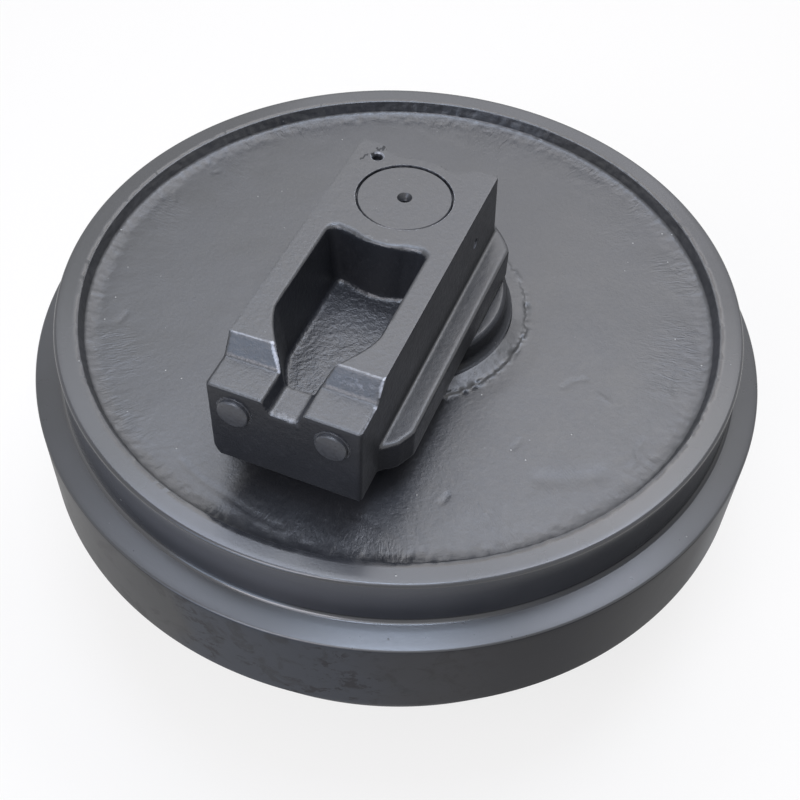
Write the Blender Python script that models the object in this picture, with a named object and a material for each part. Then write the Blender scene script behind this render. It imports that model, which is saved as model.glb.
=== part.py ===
# Front idler of an excavator track: a hollow cast wheel that turns on a fixed shaft.
# The wheel axis is Z, its mid-plane is Z = 0, and both brackets point along -Y.
# The upper half is modelled, and the lower half mirrors it in the mid-plane.
# All sizes below are in millimetres, and MM turns them into metres.

import math

import bmesh
import bpy
from mathutils import Matrix, Vector

MM = 0.001

# Wheel casting
TREAD_RADIUS = 268.0
TREAD_WIDTH = 47.0
FLANGE_HEIGHT = 22.0
FLANGE_WIDTH = 78.0
FLANGE_DRAFT_ANGLE = 9.0
FLANGE_FILLET = 5.0
RIM_EDGE = 2.0
RIM_FACE_WIDTH = 18.5
RIM_LIP_SLOPE = 3.0
RIM_THICKNESS = 29.0
WEB_RECESS = 12.0
WEB_THICKNESS = 14.0
WEB_FILLET_WIDTH = 13.0
WEB_FILLET_HEIGHT = 4.0
HUB_WALL = 29.3
HUB_PROUD = 12.0
HUB_FOOT_WIDTH = 27.0
HUB_FOOT_HEIGHT = 19.0
HUB_EDGE = 1.5
HUB_TUBE_WALL = 17.0
CAVITY_FILLET = 14.0
CORE_WINDOW_RADIUS = 18.0
CORE_WINDOWS = 4

# Shaft
SHAFT_RADIUS = 35.0
SHAFT_SINK = 0.8
SHAFT_CHAMFER = 0.9
OIL_BORE = 5.0
OIL_CROSS_BORE = 4.0
CENTRE_HOLE_RADIUS = 6.8
CENTRE_HOLE_SLOPE = 1.73
CENTRE_PILOT_RADIUS = 2.5
CENTRE_PILOT_DEPTH = 9.0
SHAFT_RING_SECTION = 1.7
SHAFT_RING_HEIGHT = 20.0

# Flanged bushes
BUSH_WALL = 4.7
BUSH_LENGTH = 55.0
BUSH_FLANGE_WIDTH = 6.0
BUSH_FLANGE_THICKNESS = 4.0
BUSH_LEAD = 1.0
OIL_CHAMBER_RELIEF = 3.7

# Metal face seals: two lapped rings, each carried by a rubber ring
SPIGOT_WALL = 3.6
SEAL_RING_GAP = 1.1
SEAL_RING_WALL = 4.7
SEAL_RING_SHORT = 1.0
SEAL_HEAD_THICKNESS = 3.5
SEAL_HEAD_GAP = 1.7
SEAL_LAND = 3.0
SEAL_RELIEF = 2.0
RUBBER_SECTION = 4.2
HUB_TO_BRACKET = 2.0

# Bracket: a block on a wide shoe whose edges are the guide ledges
BRACKET_HEIGHT = 85.0
BLOCK_WIDTH = 110.0
BLOCK_FRONT = 207.0
BLOCK_CORNER = 3.0
SHOE_HEIGHT = 26.0
SHOE_FLAT = 10.5
SHOE_SET_BACK = 25.0
SHOE_TAPER = 26.0
SHOE_EDGE = 1.5
STEP_DEPTH = 14.0
STEP_LENGTH = 28.0
STEP_SLOPE = 9.0
REAR_WALL = 10.2
REAR_DRAFT = 7.0
REAR_ARCH_ANGLE = 22.0
EAR_PROUD = 5.5
EAR_WIDTH = 22.5
EAR_CORNER = 2.5
GROUND_CORNER_WIDTH = 5.0
GROUND_CORNER_HEIGHT = 9.0

# Pocket and slot in the outer face of a bracket
POCKET_DEPTH = 50.5
POCKET_SIDE_WALL = 17.5
POCKET_END_WALL = 27.0
POCKET_CORNER = 7.0
POCKET_DRAFT = 1.5
POCKET_SIDE_DRAFT = 4.5
POCKET_FLOOR_FILLET = 3.5
POCKET_MOUTH = 1.2
BORE_BOSS_WALL = 19.0
BORE_BOSS_PROUD = 5.5
FUNNEL_LENGTH = 46.0
FUNNEL_BULGE = 1.45
FUNNEL_STEPS = 6
BOSS_SHARE = 0.85
SLOT_DEPTH = 24.5
SLOT_FLOOR_WIDTH = 20.0
SLOT_SIDE_SLOPE = 0.44
SLOT_RUN_IN = 12.0

# Pins, plugs and tapped holes
PIN_RADIUS = 4.0
PIN_DEPTH = 30.0
PIN_OFFSET = 6.0
PIN_BITE = 24.0
PIN_SUNK = 3.0
EAR_HOLE_RADIUS = 5.0
EAR_HOLE_DEPTH = 18.0
EAR_HOLE_COUNTERSINK = 1.5
EAR_HOLE_FROM_SIDE = 19.0
EAR_HOLE_FROM_REAR = 16.5
YOKE_HOLE_RADIUS = 8.75
YOKE_HOLE_DEPTH = 30.0
YOKE_HOLE_FROM_SIDE = 20.0
YOKE_HOLE_DROP = 33.0
SPOT_FACE_DEPTH = 0.6
PLUG_HEAD_WIDTH = 3.0
PLUG_HEAD_HEIGHT = 3.0
PLUG_HEAD_ROUND = 1.4
PLUG_LIP_WIDTH = 4.1
PLUG_LIP_HEIGHT = 0.9
PLUG_SHANK_LENGTH = 14.0
PLUG_SHANK_LEAD = 1.0
SPOT_FACE_MARGIN = 0.5
OIL_PLUG_RADIUS = 8.0
OIL_PLUG_LENGTH = 12.0
OIL_PLUG_SUNK = 1.5
OIL_PLUG_SOCKET = 4.0
OIL_PLUG_SOCKET_DEPTH = 7.0

# Clearances
SEAT = 0.3
RUNNING = 0.3
FACE_GAP = 0.3
AXIAL_PLAY = 0.3
BORE_CHAMFER = 0.5

# How far a cutting tool runs past the face that it cuts
OVERCUT = 5.0

# Facets around each kind of round piece
WHEEL_FACETS = 48
SHAFT_FACETS = 28
SEAL_FACETS = 24
RUBBER_FACETS = 6
HOLE_FACETS = 12
SHARP_ANGLE = math.radians(35)

# Heights above the mid-plane
RIM_FACE_Z = FLANGE_WIDTH / 2 + TREAD_WIDTH
WEB_Z = RIM_FACE_Z - WEB_RECESS
HUB_FACE_Z = RIM_FACE_Z + HUB_PROUD
BRACKET_Z = HUB_FACE_Z + HUB_TO_BRACKET
OUTER_Z = BRACKET_Z + BRACKET_HEIGHT
SEAL_Z = (HUB_FACE_Z + BRACKET_Z) / 2
SEAT_DEPTH = FACE_GAP / 2 + SEAL_HEAD_THICKNESS + 2 * RUBBER_SECTION + 2 * SEAT
HUB_SEAT_Z = SEAL_Z - SEAT_DEPTH
BRACKET_SEAT_Z = SEAL_Z + SEAT_DEPTH
BUSH_SHOULDER_Z = HUB_SEAT_Z - BUSH_FLANGE_THICKNESS
BUSH_END_Z = BUSH_SHOULDER_Z - BUSH_LENGTH
SPIGOT_Z = HUB_SEAT_Z + AXIAL_PLAY
SHAFT_END_Z = OUTER_Z - SHAFT_SINK
SHAFT_RING_Z = BRACKET_Z + SHAFT_RING_HEIGHT
SHOE_Z = BRACKET_Z + SHOE_HEIGHT
STEP_Z = OUTER_Z - STEP_DEPTH
POCKET_Z = OUTER_Z - POCKET_DEPTH
SLOT_Z = OUTER_Z - SLOT_DEPTH
PIN_Z = OUTER_Z - PIN_DEPTH
YOKE_HOLE_Z = OUTER_Z - YOKE_HOLE_DROP

# Radii that fit one another, from the shaft outwards
BORE_RADIUS = SHAFT_RADIUS + SEAT
BUSH_BORE = SHAFT_RADIUS + RUNNING
BUSH_RADIUS = BUSH_BORE + BUSH_WALL
BUSH_FLANGE_RADIUS = BUSH_RADIUS + BUSH_FLANGE_WIDTH
HUB_BORE = BUSH_RADIUS + SEAT
CHAMBER_RADIUS = HUB_BORE + OIL_CHAMBER_RELIEF
SPIGOT_RADIUS = BORE_RADIUS + SPIGOT_WALL
SEAL_RING_BORE = SPIGOT_RADIUS + SEAL_RING_GAP
SEAL_TAIL_RADIUS = SEAL_RING_BORE + SEAL_RING_WALL
RUBBER_RADIUS = SEAL_TAIL_RADIUS + SEAT + RUBBER_SECTION
SEAL_HOUSING_RADIUS = RUBBER_RADIUS + RUBBER_SECTION + SEAT
SEAL_HEAD_RADIUS = SEAL_HOUSING_RADIUS - SEAL_HEAD_GAP
HUB_RADIUS = SEAL_HOUSING_RADIUS + HUB_WALL
FLANGE_RADIUS = TREAD_RADIUS + FLANGE_HEIGHT
RIM_FACE_INNER = TREAD_RADIUS - RIM_FACE_WIDTH
CAVITY_OUTER = TREAD_RADIUS - RIM_THICKNESS
CAVITY_INNER = CHAMBER_RADIUS + HUB_TUBE_WALL
CAVITY_Z = WEB_Z - WEB_THICKNESS
SHAFT_RING_RADIUS = BORE_RADIUS - SEAT - SHAFT_RING_SECTION
GROOVE_RADIUS = SHAFT_RING_RADIUS - SHAFT_RING_SECTION - SEAT
GROOVE_HALF = SHAFT_RING_SECTION + SEAT
BORE_BOSS_RADIUS = BORE_RADIUS + BORE_BOSS_WALL
REAR_ARCH_RADIUS = BORE_RADIUS + REAR_WALL

# Half-widths and lengths of a bracket
BLOCK_HALF = BLOCK_WIDTH / 2
SHOE_HALF = HUB_RADIUS - SHOE_FLAT
EAR_Y = REAR_ARCH_RADIUS + EAR_PROUD
SHOE_FRONT = BLOCK_FRONT - SHOE_SET_BACK
STEP_FOOT = BLOCK_FRONT - STEP_LENGTH
POCKET_HALF = BLOCK_HALF - POCKET_SIDE_WALL
POCKET_FRONT = BLOCK_FRONT - POCKET_END_WALL
POCKET_REAR = BORE_BOSS_RADIUS - BORE_BOSS_PROUD
SLOT_HALF = SLOT_FLOOR_WIDTH / 2
YOKE_HOLE_X = BLOCK_HALF - YOKE_HOLE_FROM_SIDE
PLUG_SHANK_RADIUS = YOKE_HOLE_RADIUS - SEAT
PLUG_LIP_RADIUS = PLUG_SHANK_RADIUS + PLUG_LIP_WIDTH
SPOT_FACE_Y = SPOT_FACE_DEPTH - BLOCK_FRONT

# Finishes: colour, roughness and metallic value
CAST_PAINT = ((0.085, 0.09, 0.10), 0.5, 0.0)
WHEEL_PAINT = ((0.075, 0.08, 0.09), 0.42, 0.0)
GROUND_STEEL = ((0.30, 0.31, 0.33), 0.3, 0.9)
PIN_STEEL = ((0.20, 0.20, 0.21), 0.35, 0.9)
LAPPED_IRON = ((0.42, 0.43, 0.44), 0.2, 1.0)
BRONZE = ((0.62, 0.42, 0.20), 0.35, 1.0)
RUBBER = ((0.015, 0.015, 0.016), 0.6, 0.0)
PLUG_PLASTIC = ((0.05, 0.05, 0.055), 0.35, 0.0)


def arc(centre_x, centre_y, width, height, start, end, steps):
    """Points of an arc of an ellipse, angles in degrees, both ends included."""
    points = []
    for step in range(steps + 1):
        angle = math.radians(start + (end - start) * step / steps)
        points.append((centre_x + width * math.cos(angle), centre_y + height * math.sin(angle)))
    return points


def both_sides(half):
    """A closed outline from its half at +X, whose first or last point may lie on the Y axis."""
    other = [(-x, y) for x, y in reversed(half) if x > 1e-6]
    return half + other


def above_and_below(upper):
    """A closed profile from its upper half, mirrored in the mid-plane."""
    return upper + [(radius, -height) for radius, height in reversed(upper)]


def offset(outline, distance):
    """The outline moved outwards by a distance, square to its sides."""
    count = len(outline)
    points = [Vector(point) for point in outline]
    area = sum(points[i - 1].x * points[i].y - points[i].x * points[i - 1].y for i in range(count))
    turn = math.copysign(1.0, area)
    moved = []
    for index, point in enumerate(points):
        before = (point - points[index - 1]).normalized()
        after = (points[(index + 1) % count] - point).normalized()
        normal = (Vector((before.y + after.y, -before.x - after.x)) * turn).normalized()
        side = Vector((before.y, -before.x)) * turn
        moved.append(tuple(point + normal * distance / max(normal.dot(side), 0.5)))
    return moved


def at_height(outline, z):
    return [(x, y, z) for x, y in outline]


def smooth(mesh):
    mesh.shade_smooth()
    mesh.set_sharp_from_angle(angle=SHARP_ANGLE)


def make_object(name, bm, finish=None):
    """An object from a bmesh in millimetres, with its own material if a finish is given."""
    bmesh.ops.remove_doubles(bm, verts=bm.verts, dist=1e-4)
    bmesh.ops.recalc_face_normals(bm, faces=bm.faces)
    bmesh.ops.scale(bm, vec=(MM, MM, MM), verts=bm.verts)
    mesh = bpy.data.meshes.new(name)
    bm.to_mesh(mesh)
    bm.free()
    smooth(mesh)
    obj = bpy.data.objects.new(name, mesh)
    bpy.context.scene.collection.objects.link(obj)
    if finish:
        colour, roughness, metallic = finish
        material = bpy.data.materials.new(name)
        material.use_nodes = True
        shader = material.node_tree.nodes["Principled BSDF"]
        shader.inputs["Base Color"].default_value = (*colour, 1.0)
        shader.inputs["Roughness"].default_value = roughness
        shader.inputs["Metallic"].default_value = metallic
        mesh.materials.append(material)
    return obj


def turned(profile, facets):
    """A solid of revolution about Z from a closed profile of (radius, height) points."""
    bm = bmesh.new()
    verts = [bm.verts.new((radius, 0.0, height)) for radius, height in profile]
    for index in range(len(verts)):
        ends = (verts[index - 1], verts[index])
        if max(vert.co.x for vert in ends) > 1e-6:
            bm.edges.new(ends)
    bmesh.ops.spin(bm, geom=bm.verts[:] + bm.edges[:], cent=(0, 0, 0), axis=(0, 0, 1),
                   angle=2 * math.pi, steps=facets, use_merge=True)
    return bm


def loft(rings):
    """A solid through rings of equally many points, capped at both ends."""
    bm = bmesh.new()
    rows = [[bm.verts.new(point) for point in ring] for ring in rings]
    for lower, upper in zip(rows, rows[1:]):
        for index in range(len(lower)):
            bm.faces.new((lower[index - 1], lower[index], upper[index], upper[index - 1]))
    bm.faces.new(rows[0])
    bm.faces.new(rows[-1])
    return bm


def rods(places, radius, facets=HOLE_FACETS):
    """Closed cylinders of one radius, each between two points."""
    bm = bmesh.new()
    for start, end in places:
        along = Vector(end) - Vector(start)
        turn = along.to_track_quat("Z", "Y").to_matrix().to_4x4()
        middle = Matrix.Translation((Vector(start) + Vector(end)) / 2)
        bmesh.ops.create_cone(bm, cap_ends=True, segments=facets, radius1=radius, radius2=radius,
                              depth=along.length, matrix=middle @ turn)
    return bm


def combine(target, name, bm, operation="DIFFERENCE"):
    """Cuts a tool body out of an object, or joins it on, and keeps the tool as a hidden guide."""
    tool = make_object(name, bm)
    tool.hide_render = True
    tool.display_type = "WIRE"
    modifier = target.modifiers.new(name, "BOOLEAN")
    modifier.operation = operation
    modifier.solver = "EXACT"
    modifier.object = tool


def settle(obj):
    """Turns an object's modifiers into its mesh and clears away their tools."""
    tools = [modifier.object for modifier in obj.modifiers]
    bpy.context.view_layer.update()
    evaluated = obj.evaluated_get(bpy.context.evaluated_depsgraph_get())
    mesh = bpy.data.meshes.new_from_object(evaluated)
    obj.modifiers.clear()
    obj.data = mesh
    bm = bmesh.new()
    bm.from_mesh(mesh)
    bmesh.ops.remove_doubles(bm, verts=bm.verts, dist=1e-6)
    bmesh.ops.dissolve_degenerate(bm, edges=bm.edges, dist=1e-7)
    bm.to_mesh(mesh)
    bm.free()
    smooth(mesh)
    for tool in tools:
        bpy.data.objects.remove(tool)


def lower_copy(obj):
    """The same piece for the lower side, mirrored in the mid-plane."""
    name = obj.name.replace("upper", "lower")
    bm = bmesh.new()
    bm.from_mesh(obj.data)
    bmesh.ops.scale(bm, vec=(1, 1, -1), verts=bm.verts)
    bmesh.ops.reverse_faces(bm, faces=bm.faces)
    mesh = bpy.data.meshes.new(name)
    bm.to_mesh(mesh)
    bm.free()
    material = obj.data.materials[0].copy()
    material.name = name
    mesh.materials.append(material)
    smooth(mesh)
    copy = bpy.data.objects.new(name, mesh)
    bpy.context.scene.collection.objects.link(copy)
    copy.location = (obj.location.x, obj.location.y, -obj.location.z)
    copy.rotation_euler = obj.rotation_euler
    return copy


def build_wheel():
    """Rim with a tapered centre flange, two dished webs and a bored hub, cast in one piece and hollow."""
    draft = math.radians(FLANGE_DRAFT_ANGLE)
    crest = FLANGE_RADIUS - RIM_EDGE
    crest_z = FLANGE_WIDTH / 2 - RIM_EDGE
    root = TREAD_RADIUS + FLANGE_FILLET
    rise = RIM_EDGE + FLANGE_FILLET + (crest - root) * math.sin(draft)
    root_z = crest_z + rise / math.cos(draft)
    lip_foot = RIM_FACE_INNER - RIM_LIP_SLOPE
    counterbore = BUSH_FLANGE_RADIUS + SEAT
    counterbore_z = BUSH_SHOULDER_Z - SEAT
    upper = arc(crest, crest_z, RIM_EDGE, RIM_EDGE, 0, 90 - FLANGE_DRAFT_ANGLE, 1)
    upper += arc(root, root_z, FLANGE_FILLET, FLANGE_FILLET, 270 - FLANGE_DRAFT_ANGLE, 180, 2)
    upper += [(TREAD_RADIUS, RIM_FACE_Z - RIM_EDGE), (TREAD_RADIUS - RIM_EDGE, RIM_FACE_Z)]
    upper += [(RIM_FACE_INNER, RIM_FACE_Z)]
    upper += arc(lip_foot - WEB_FILLET_WIDTH, WEB_Z + WEB_FILLET_HEIGHT, WEB_FILLET_WIDTH, WEB_FILLET_HEIGHT,
                 0, -90, 2)
    upper += arc(HUB_RADIUS + HUB_FOOT_WIDTH, WEB_Z + HUB_FOOT_HEIGHT, HUB_FOOT_WIDTH, HUB_FOOT_HEIGHT,
                 270, 180, 3)
    upper += [(HUB_RADIUS, HUB_FACE_Z - HUB_EDGE), (HUB_RADIUS - HUB_EDGE, HUB_FACE_Z)]
    upper += [(SEAL_HOUSING_RADIUS, HUB_FACE_Z), (SEAL_HOUSING_RADIUS, HUB_SEAT_Z)]
    upper += [(counterbore, HUB_SEAT_Z), (counterbore, counterbore_z)]
    upper += [(HUB_BORE, counterbore_z), (HUB_BORE, BUSH_END_Z)]
    upper += [(CHAMBER_RADIUS, BUSH_END_Z - OIL_CHAMBER_RELIEF)]
    wheel = make_object("idler_wheel", turned(above_and_below(upper), WHEEL_FACETS), WHEEL_PAINT)

    corner_z = CAVITY_Z - CAVITY_FILLET
    cavity = arc(CAVITY_OUTER - CAVITY_FILLET, corner_z, CAVITY_FILLET, CAVITY_FILLET, 0, 90, 2)
    cavity += arc(CAVITY_INNER + CAVITY_FILLET, corner_z, CAVITY_FILLET, CAVITY_FILLET, 90, 180, 2)
    combine(wheel, "cavity_core", turned(above_and_below(cavity), WHEEL_FACETS))

    windows = []
    for index in range(CORE_WINDOWS):
        angle = 2 * math.pi * (index + 0.5) / CORE_WINDOWS
        outwards = Vector((math.cos(angle), math.sin(angle), 0.0))
        windows.append((outwards * (HUB_BORE - OVERCUT), outwards * (CAVITY_INNER + OVERCUT)))
    combine(wheel, "core_windows", rods(windows, CORE_WINDOW_RADIUS))
    settle(wheel)
    return wheel


def pin_bore(side):
    """The line of a lock pin's bore, from outside a bracket's right face into the shaft."""
    z = side * PIN_Z
    return (BLOCK_HALF + OVERCUT, PIN_OFFSET, z), (SHAFT_RADIUS - PIN_BITE - SEAT, PIN_OFFSET, z)


def build_shaft():
    """Shaft with ring grooves, an oil passage, a centre hole above and a plug seat below."""
    end = SHAFT_END_Z
    cone_z = end - (CENTRE_HOLE_RADIUS - CENTRE_PILOT_RADIUS) * CENTRE_HOLE_SLOPE
    plug_bore = OIL_PLUG_RADIUS + SEAT
    plug_seat_z = OIL_PLUG_SUNK + OIL_PLUG_LENGTH + SEAT - end
    passage_z = 2 * OIL_CROSS_BORE
    groove_top = SHAFT_RING_Z + GROOVE_HALF
    groove_foot = SHAFT_RING_Z - GROOVE_HALF
    outside = above_and_below([(SHAFT_RADIUS - SHAFT_CHAMFER, end), (SHAFT_RADIUS, end - SHAFT_CHAMFER),
                               (SHAFT_RADIUS, groove_top), (GROOVE_RADIUS, groove_top),
                               (GROOVE_RADIUS, groove_foot), (SHAFT_RADIUS, groove_foot)])
    passage = [(plug_bore, -end), (plug_bore, plug_seat_z), (OIL_BORE, plug_seat_z),
               (OIL_BORE, passage_z), (0.0, passage_z + OIL_BORE)]
    centre_hole = [(0.0, cone_z - CENTRE_PILOT_DEPTH), (CENTRE_PILOT_RADIUS, cone_z - CENTRE_PILOT_DEPTH),
                   (CENTRE_PILOT_RADIUS, cone_z), (CENTRE_HOLE_RADIUS, end)]
    shaft = make_object("shaft", turned(outside + passage + centre_hole, SHAFT_FACETS), GROUND_STEEL)
    reach = SHAFT_RADIUS + OVERCUT
    combine(shaft, "oil_cross_bore", rods([((-reach, 0, 0), (reach, 0, 0))], OIL_CROSS_BORE))
    combine(shaft, "pin_bores", rods([pin_bore(1), pin_bore(-1)], PIN_RADIUS + SEAT))
    settle(shaft)
    return shaft


def build_bush():
    """Flanged plain bearing that is pressed into the hub and takes the end thrust."""
    profile = [(BUSH_BORE, HUB_SEAT_Z), (BUSH_FLANGE_RADIUS, HUB_SEAT_Z),
               (BUSH_FLANGE_RADIUS, BUSH_SHOULDER_Z), (BUSH_RADIUS, BUSH_SHOULDER_Z),
               (BUSH_RADIUS, BUSH_END_Z + BUSH_LEAD), (BUSH_RADIUS - BUSH_LEAD, BUSH_END_Z),
               (BUSH_BORE, BUSH_END_Z)]
    return make_object("bush_upper", turned(profile, SHAFT_FACETS), BRONZE)


def build_seal_ring(name, direction):
    """A lapped seal ring, above the seal face for direction 1 and below it for direction -1."""
    face = FACE_GAP / 2
    tail = SEAT_DEPTH - SEAL_RING_SHORT
    head = face + SEAL_HEAD_THICKNESS
    section = [(SEAL_RING_BORE, tail), (SEAL_RING_BORE, face + SEAL_RELIEF),
               (SEAL_HEAD_RADIUS - SEAL_LAND, face), (SEAL_HEAD_RADIUS, face),
               (SEAL_HEAD_RADIUS, head), (SEAL_TAIL_RADIUS, head), (SEAL_TAIL_RADIUS, tail)]
    profile = [(radius, SEAL_Z + direction * distance) for radius, distance in section]
    return make_object(name, turned(profile, SEAL_FACETS), LAPPED_IRON)


def build_round_ring(name, radius, section, height):
    profile = arc(radius, height, section, section, 0, 360, RUBBER_FACETS)[:-1]
    return make_object(name, turned(profile, SEAL_FACETS), RUBBER)


def shoe_outline():
    """Plan of the wide lower part: a round seal housing that runs into two guide ledges."""
    edge_angle = math.degrees(math.acos(SHOE_HALF / HUB_RADIUS))
    ledge = SHOE_HALF - BLOCK_HALF
    half = arc(0, 0, HUB_RADIUS, HUB_RADIUS, 90, edge_angle, 7)
    half += [(SHOE_HALF, SHOE_TAPER - SHOE_FRONT), (SHOE_HALF - ledge / 3, SHOE_TAPER / 2 - SHOE_FRONT),
             (BLOCK_HALF - BLOCK_CORNER, -SHOE_FRONT)]
    return both_sides(half)


def block_outline():
    """Plan of the upper block: an arched back between two ears, and a square front."""
    ear_inner = BLOCK_HALF - EAR_WIDTH
    half = arc(0, 0, REAR_ARCH_RADIUS, REAR_ARCH_RADIUS, 90, 90 - REAR_ARCH_ANGLE, 3)
    valley_x, valley_y = half[-1]
    step = EAR_Y - valley_y
    half.append(((valley_x + ear_inner) / 2, valley_y))
    half += arc(ear_inner + step, EAR_Y - step, step, step, 180, 90, 3)[1:]
    half += arc(BLOCK_HALF - EAR_CORNER, EAR_Y - EAR_CORNER, EAR_CORNER, EAR_CORNER, 90, 0, 3)
    corner = BLOCK_CORNER
    half += arc(BLOCK_HALF - corner, corner - BLOCK_FRONT, corner, corner, 0, -90, 3)
    return both_sides(half)


def pocket_outline():
    """Plan of the pocket: it goes round the shaft boss and closes to the slot like a funnel."""
    boss_angle = math.degrees(math.acos(POCKET_REAR / BORE_BOSS_RADIUS))
    half = arc(0, 0, BORE_BOSS_RADIUS, BORE_BOSS_RADIUS, -90, boss_angle * BOSS_SHARE - 90, 3)
    corner = POCKET_CORNER
    half += arc(POCKET_HALF - corner, -POCKET_REAR - corner, corner, corner, 90, 0, 3)
    end_half = SLOT_HALF + 2 * POCKET_MOUTH
    funnel_y = FUNNEL_LENGTH - POCKET_FRONT
    for step in range(FUNNEL_STEPS + 1):
        share = step / FUNNEL_STEPS
        width = end_half + (POCKET_HALF - end_half) * (1 - share ** FUNNEL_BULGE)
        half.append((width, funnel_y - FUNNEL_LENGTH * share))
    return both_sides(half)


def pocket_core():
    """The pocket's core: drafted sides, a filleted floor and a softened mouth."""
    mouth = pocket_outline()
    squeeze = 1 - POCKET_SIDE_DRAFT / POCKET_HALF
    floor = [(x * squeeze, y) for x, y in offset(mouth, -POCKET_DRAFT)]
    fillet = POCKET_FLOOR_FILLET
    flare = offset(mouth, POCKET_MOUTH)
    return loft([at_height(offset(floor, -fillet), POCKET_Z),
                 at_height(offset(floor, -fillet * 0.3), POCKET_Z + fillet * 0.3),
                 at_height(floor, POCKET_Z + fillet),
                 at_height(mouth, OUTER_Z - POCKET_MOUTH),
                 at_height(flare, OUTER_Z),
                 at_height(flare, OUTER_Z + OVERCUT)])


def slot_core():
    """The tapered slot that leads from the pocket out through the front."""
    top_z = OUTER_Z + OVERCUT
    top_half = SLOT_HALF + (top_z - SLOT_Z) * SLOT_SIDE_SLOPE
    section = [(-SLOT_HALF, SLOT_Z), (SLOT_HALF, SLOT_Z), (top_half, top_z), (-top_half, top_z)]
    ends = (SLOT_RUN_IN - POCKET_FRONT, -BLOCK_FRONT - OVERCUT)
    return loft([[(x, y, z) for x, z in section] for y in ends])


def step_core():
    """The stepped front: a slope from the outer face down to the yoke's landing."""
    top_z = OUTER_Z + OVERCUT
    slope = STEP_SLOPE / STEP_DEPTH
    front = -BLOCK_FRONT - OVERCUT
    back = (top_z - STEP_Z) * slope - STEP_FOOT
    side = [(back, top_z), (-STEP_FOOT, STEP_Z), (front, STEP_Z), (front, top_z)]
    reach = BLOCK_HALF + OVERCUT
    return loft([[(x, y, z) for y, z in side] for x in (-reach, reach)])


def ground_corner():
    """The lower left corner of the front, ground off at a slant."""
    slope = GROUND_CORNER_WIDTH / GROUND_CORNER_HEIGHT
    left = -BLOCK_HALF - OVERCUT
    foot_z = BRACKET_Z - OVERCUT
    section = [(left, foot_z), (GROUND_CORNER_WIDTH + OVERCUT * slope - BLOCK_HALF, foot_z),
               (left, BRACKET_Z + GROUND_CORNER_HEIGHT + OVERCUT / slope)]
    ends = (-BLOCK_FRONT - OVERCUT, -SHOE_FRONT)
    return loft([[(x, y, z) for x, z in section] for y in ends])


def ear_hole():
    """Countersunk tapped hole in the left ear."""
    mouth = EAR_HOLE_RADIUS + EAR_HOLE_COUNTERSINK
    profile = [(0.0, OUTER_Z - EAR_HOLE_DEPTH), (EAR_HOLE_RADIUS, OUTER_Z - EAR_HOLE_DEPTH),
               (EAR_HOLE_RADIUS, OUTER_Z - EAR_HOLE_COUNTERSINK), (mouth, OUTER_Z),
               (mouth, OUTER_Z + OVERCUT), (0.0, OUTER_Z + OVERCUT)]
    bm = turned(profile, HOLE_FACETS)
    place = (EAR_HOLE_FROM_SIDE - BLOCK_HALF, EAR_Y - EAR_HOLE_FROM_REAR, 0.0)
    bmesh.ops.translate(bm, vec=place, verts=bm.verts)
    return bm


def build_bracket():
    """Support bracket: block, shoe and spigot in one casting, with its pocket and holes."""
    top = block_outline()
    slant = REAR_DRAFT / (OUTER_Z - SHOE_Z)
    rings = []
    for z in (BRACKET_Z, SHOE_Z, OUTER_Z):
        back = (OUTER_Z - z) * slant
        rings.append([(x, y + back if y > 0 else y, z) for x, y in top])
    bracket = make_object("bracket_upper", loft(rings), CAST_PAINT)

    shoe = shoe_outline()
    combine(bracket, "shoe", loft([at_height(shoe, BRACKET_Z), at_height(shoe, SHOE_Z - SHOE_EDGE),
                                   at_height(offset(shoe, -SHOE_EDGE), SHOE_Z)]), "UNION")
    spigot = [(0.0, SPIGOT_Z), (SPIGOT_RADIUS, SPIGOT_Z), (SPIGOT_RADIUS, SHOE_Z), (0.0, SHOE_Z)]
    combine(bracket, "spigot", turned(spigot, SEAL_FACETS), "UNION")
    combine(bracket, "step", step_core())
    combine(bracket, "pocket", pocket_core())
    combine(bracket, "slot", slot_core())
    housing = [(SPIGOT_RADIUS, BRACKET_Z - OVERCUT), (SEAL_HOUSING_RADIUS, BRACKET_Z - OVERCUT),
               (SEAL_HOUSING_RADIUS, BRACKET_SEAT_Z), (SPIGOT_RADIUS, BRACKET_SEAT_Z)]
    combine(bracket, "seal_housing", turned(housing, SEAL_FACETS))
    mouth = BORE_RADIUS + BORE_CHAMFER
    bore = [(0.0, SPIGOT_Z - OVERCUT), (BORE_RADIUS, SPIGOT_Z - OVERCUT),
            (BORE_RADIUS, OUTER_Z - BORE_CHAMFER), (mouth, OUTER_Z), (mouth, OUTER_Z + OVERCUT),
            (0.0, OUTER_Z + OVERCUT)]
    combine(bracket, "shaft_bore", turned(bore, SHAFT_FACETS))
    combine(bracket, "ground_corner", ground_corner())
    combine(bracket, "ear_hole", ear_hole())
    yoke_holes = []
    spot_faces = []
    for x in (-YOKE_HOLE_X, YOKE_HOLE_X):
        start = (x, -BLOCK_FRONT - OVERCUT, YOKE_HOLE_Z)
        yoke_holes.append((start, (x, YOKE_HOLE_DEPTH - BLOCK_FRONT, YOKE_HOLE_Z)))
        spot_faces.append((start, (x, SPOT_FACE_Y, YOKE_HOLE_Z)))
    combine(bracket, "yoke_holes", rods(yoke_holes, YOKE_HOLE_RADIUS))
    combine(bracket, "spot_faces", rods(spot_faces, PLUG_LIP_RADIUS + SPOT_FACE_MARGIN))
    combine(bracket, "pin_hole", rods([pin_bore(1)], PIN_RADIUS + SEAT))
    settle(bracket)
    return bracket


def build_lock_pin():
    """Plain pin through the bracket's right wall into the shaft."""
    inner = SHAFT_RADIUS - PIN_BITE
    outer = BLOCK_HALF - PIN_SUNK
    pin = make_object("lock_pin_upper", rods([((inner, 0, 0), (outer, 0, 0))], PIN_RADIUS), PIN_STEEL)
    pin.location = (0, PIN_OFFSET * MM, PIN_Z * MM)
    return pin


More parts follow.
